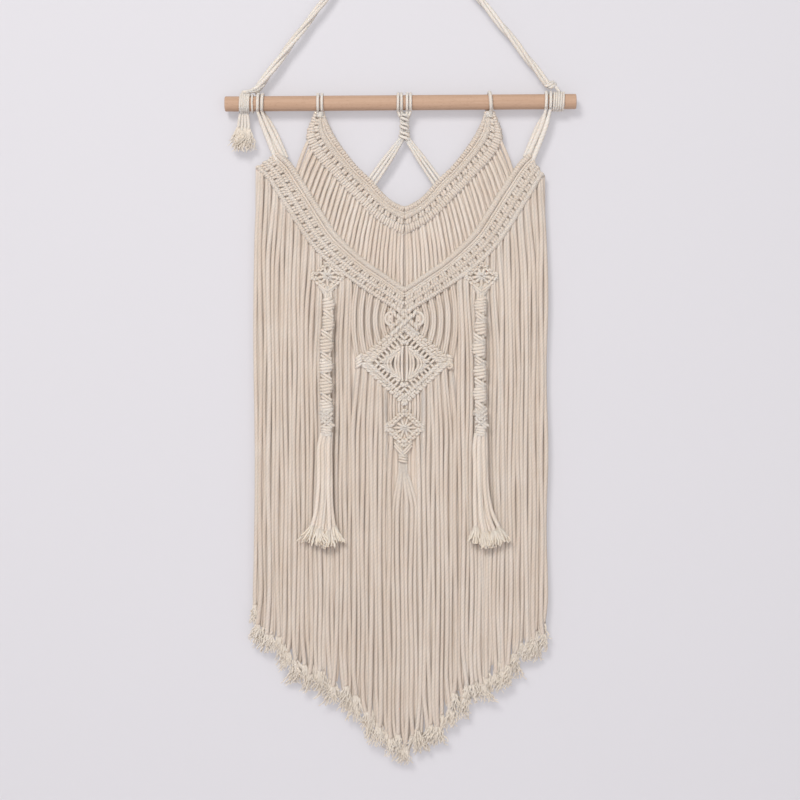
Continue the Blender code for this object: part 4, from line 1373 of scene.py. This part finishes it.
def dropRuns(side):
    # in each bulge the half knots' bars lie flat; between two the cord that was in front
    # goes down across the sinnet to the other side
    d = drop
    radius = d["cordRadius"]
    steps = 10  # spots a turn
    runs = []
    for top, foot, halfWidth, across in d["bulges"][side]:
        forward = d["forward"] if top > d["start"] else mix(d["rootForward"], d["forward"], 0.6)
        middle = side * across
        turns = round((foot - top) / d["barPitch"])
        spots = []
        for step in range(turns * steps + 1):
            angle = math.tau * step / steps
            share = step / (turns * steps)
            swell = mix(d["waist"], 1, math.sin(math.pi * share) ** 0.7)
            wide = (halfWidth * swell - radius) * math.cos(angle)
            deep = (d["halfDeep"] * mix(1, swell, 0.5) - radius) * math.sin(angle)
            shift = side * d["notch"] * (1 - swell) * halfWidth
            spots.append(onCloth(middle + shift + wide,
                                 mix(top + radius, foot - radius, share)
                                 - 0.35 * math.cos(angle) + 0.4 * math.sin(angle),
                                 forward + deep))
        runs.append(cordOf(spots, radius))
        if top > d["start"]:
            for shift in d["crossingShifts"]:
                runs.append(cordOf([
                    onCloth(middle + beside * halfWidth, top + down + shift, forward + out)
                    for beside, down, out in d["crossing"]], d["crossingRadius"]))
    for beside in d["cores"]:
        core = [onCloth(side * d["coreAcross"] + beside, d["start"] - 5, d["rootForward"] - 2.2)]
        core += [onCloth(side * across + beside, foot, d["forward"] - 0.6)
                 for top, foot, halfWidth, across in d["bulges"][side]]
        runs.append(cordOf(core, d["coreRadius"]))
    middle = side * d["gatherAcross"][side]
    runs.append(coil(middle, **d["gather"]))
    crossed = [(lean, shift, d["ends"]) for lean in (-1, 1) for shift in d["endShifts"]]
    for lean, shift, spots in crossed + [(1, 0, d["stub"])]:
        runs.append(cordOf([onCloth(middle + lean * beside, down + shift, d["forward"] + out)
                            for beside, down, out in spots], d["endRadius"]))
    return runs


def tasselRuns(side):
    t = tassel
    chance = random.Random(40 + side)
    gathered = side * drop["gatherAcross"][side]
    knotFoot = drop["gather"]["foot"]
    top = side * t["across"][side]
    low = side * t["tipsAcross"]
    left, right = t["spread"][side]
    runs = []
    for lean, tipLean, forward in t["strands"]:
        forward += drop["forward"]
        end = low + mix(left, right, (tipLean + 1) / 2)
        tip = t["foot"] - t["fray"] - t["rounding"] * lean ** 2 + chance.uniform(-2, 2)
        spots = [onCloth(gathered + lean * t["halfWidth"] * 0.8, knotFoot - 6, forward)]
        for part in (0.1, 0.3, 0.5, 0.68, 0.84, 1):
            flared = mix(part, part ** t["flarePower"], t["flare"])
            across = mix(top + lean * t["halfWidth"], end, flared)
            spots.append(onCloth(across + chance.uniform(-0.3, 0.3), mix(knotFoot, tip, part),
                                 forward + chance.uniform(-0.3, 0.3)))
        runs.append(cordOf(spots, t["strandRadius"]))
    return runs


tassels = {side: tasselRuns(side) for side in (-1, 1)}
for side, name in ((-1, "drop_cords_left"), (1, "drop_cords_right")):
    makeCords(name, dropRuns(side) + tassels[side], paintedLitKnotCotton, "drop")


# Frayed ends: the cord's own yarns, open and crimped.

fray = {
    "crimpLength": 6.5,
    "flatness": 0.45,  # they open to the sides more than to the front
    "swing": (0.25, 0.1),  # how far one whole end may point to a side and to the front
    "curl": 1.9,  # how far a yarn's tip turns up to one side, in crimps
    "thinning": 0.6,  # a yarn's thickness at its tip, as a share
}
# How long they are, how far they open in cord radii, how many and how deeply crimped.
frayedEnds = {
    "fringe": {"length": fringe["fray"], "spread": 3.3, "yarns": 24, "crimping": 1.25,
               "thickness": 0.75},
    "tail": {"length": 22, "spread": 4.2, "yarns": 40, "crimping": 1.4, "thickness": 0.7},
    "tassel": {"length": tassel["fray"], "spread": 3.6, "yarns": 34, "crimping": 0.35,
               "thickness": 1.15},
}


def frayRuns(cords, seed, length, spread, yarns, crimping, thickness):
    chance = random.Random(seed)
    aside, ahead = fray["swing"]
    runs = []
    for cord in cords:
        (before, _), (end, radius) = cord[-2:]
        along = (end - before).normalized()
        swing = Vector((chance.uniform(-aside, aside), chance.uniform(-ahead, ahead), 0))
        wide = spread * chance.uniform(0.8, 1.2)
        for yarn in range(yarns):
            angle = chance.uniform(0, math.tau)
            reach = math.sqrt(chance.random())
            out = Vector((math.cos(angle), math.sin(angle) * fray["flatness"], 0))
            out *= reach * radius
            long = length * chance.uniform(0.6, 1.05)
            phase = chance.uniform(0, math.tau)
            curl = chance.uniform(-1, 1) * fray["curl"] * crimping
            run = []
            for step in range(8):
                part = step / 7
                opened = mix(0.7, wide, part ** 1.1)
                wave = math.tau * part * long / fray["crimpLength"] + phase
                crimp = crimping * min(1, 2 * part)
                spot = end + along * (long * part - 1.0) + out * opened
                spot += swing * (long * part * part) + Vector((
                    math.sin(wave) * crimp + curl * part ** 3,
                    math.cos(wave) * crimp * 0.6,
                    math.sin(wave * 1.3) * crimp * 0.5))
                run.append((spot, thickness * mix(1, fray["thinning"], part)))
            runs.append(run)
    return runs


makeCords("frayed_ends", frayRuns(fringeTips, 1, **frayedEnds["fringe"])
          + frayRuns(tails, 9, **frayedEnds["tail"]), paintedLitOpenCotton, "yarn")
makeCords("tassel_ends", [run for side in (-1, 1) for run in frayRuns(
    tassels[side], 2 + side, **frayedEnds["tassel"])], paintedLitTasselCotton, "brushedYarn")

for node, piece in {
    "hanger": hanger, "knotted_panel": bpy.data.objects["band"],
    "fringe": bpy.data.objects["fringe_left"],
    "drop_left": bpy.data.objects["drop_cords_left"],
    "drop_right": bpy.data.objects["drop_cords_right"],
}.items():
    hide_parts(node)


# Studio: a pale wall close behind, a pale floor below, two soft lights and the camera.

studio = {
    "wall": "#D3D1D5",
    "wallPaintedGlow": 0.36,  # painted light: share of its brightness that glows, standing in for the light the bright room gives it everywhere
    "wallBehind": 12.6,  # mm behind the dowel's axis
    "floor": "#DEDBDF",
    # the rest in metres
    "floorLevel": -1.25,
    "floorDepth": 3.0,
    "halfWidth": 3.0,
    "wallTop": 2.0,
    # where it stands, its size, its power and its colour
    "key": ((-0.7, -2.2, 0.85), 0.9, 39.5, (1.0, 0.985, 0.97)),
    "fill": ((0.4, -2.4, -0.4), 2.4, 17, (1.0, 0.99, 0.985)),
    "aim": (0, 0, -0.5),
    "room": (0.99, 0.98, 1.0, 1),
    "roomLight": 0.39,
    "camera": (-0.0005, -1.778, -0.4985),
    "lens": 80,  # mm
}


def plainMaterial(name, colour, glow, fromBehind):
    # matt paint, with the given share of its brightness painted in as a glow; the wall is clear
    # from behind so that the back of the hanging can be seen
    material = bpy.data.materials.new(name)
    material.use_nodes = True
    tree = material.node_tree
    shader = tree.nodes["Principled BSDF"]
    red, green, blue, _ = linear(colour)
    shader.inputs["Base Color"].default_value = [c * (1 - glow) for c in (red, green, blue)] + [1]
    shader.inputs["Emission Color"].default_value = (red, green, blue, 1)
    # painted light: a glow as bright as the lights make the rest of it
    shader.inputs["Emission Strength"].default_value = 1.2 * glow
    shader.inputs["Roughness"].default_value = 0.95
    if fromBehind:
        clear = addNode(tree, "ShaderNodeBsdfTransparent")
        behind = addNode(tree, "ShaderNodeNewGeometry").outputs["Backfacing"]
        either = addNode(tree, "ShaderNodeMixShader", {0: behind, 1: shader, 2: clear})
        tree.links.new(either.outputs[0], tree.nodes["Material Output"].inputs["Surface"])
    return material


def stagePlane(name, corners, material):
    mesh = bpy.data.meshes.new(name)
    mesh.from_pydata(corners, [], [(0, 1, 2, 3)])
    mesh.materials.append(material)
    plane = bpy.data.objects.new(name, mesh)
    bpy.context.scene.collection.objects.link(plane)


def softLight(name, place, size, power, colour):
    light = bpy.data.lights.new(name, "AREA")
    light.shape = "DISK"
    light.size = size
    light.energy = power
    light.color = colour
    lamp = bpy.data.objects.new(name, light)
    lamp.location = place
    lamp.rotation_mode = "QUATERNION"
    toward = Vector(studio["aim"]) - Vector(place)
    lamp.rotation_quaternion = toward.to_track_quat("-Z", "Y")
    bpy.context.scene.collection.objects.link(lamp)


wallY, deep = studio["wallBehind"] * mm, studio["floorDepth"]
wide, high, low = studio["halfWidth"], studio["wallTop"], studio["floorLevel"]
wallPaint = plainMaterial("matt wall paint with a painted glow", studio["wall"], studio["wallPaintedGlow"], True)
floorPaint = plainMaterial("pale floor", studio["floor"], 0.0, False)
stagePlane("wall", [(-wide, wallY, low), (wide, wallY, low), (wide, wallY, high),
                    (-wide, wallY, high)], wallPaint)
stagePlane("floor", [(-wide, -deep, low), (wide, -deep, low), (wide, deep, low),
                     (-wide, deep, low)], floorPaint)
softLight("key", *studio["key"])
softLight("fill", *studio["fill"])

world = bpy.data.worlds.new("soft room")
world.use_nodes = True
background = world.node_tree.nodes["Background"]
background.inputs["Color"].default_value = studio["room"]
background.inputs["Strength"].default_value = studio["roomLight"]
bpy.context.scene.world = world

lens = bpy.data.cameras.new("camera")
lens.lens = studio["lens"]
lens.sensor_width = 36
camera = bpy.data.objects.new("camera", lens)
camera.location = studio["camera"]
camera.rotation_euler = (math.radians(90), 0, 0)
bpy.context.scene.collection.objects.link(camera)
bpy.context.scene.camera = camera
bpy.context.scene.view_settings.view_transform = "Standard"
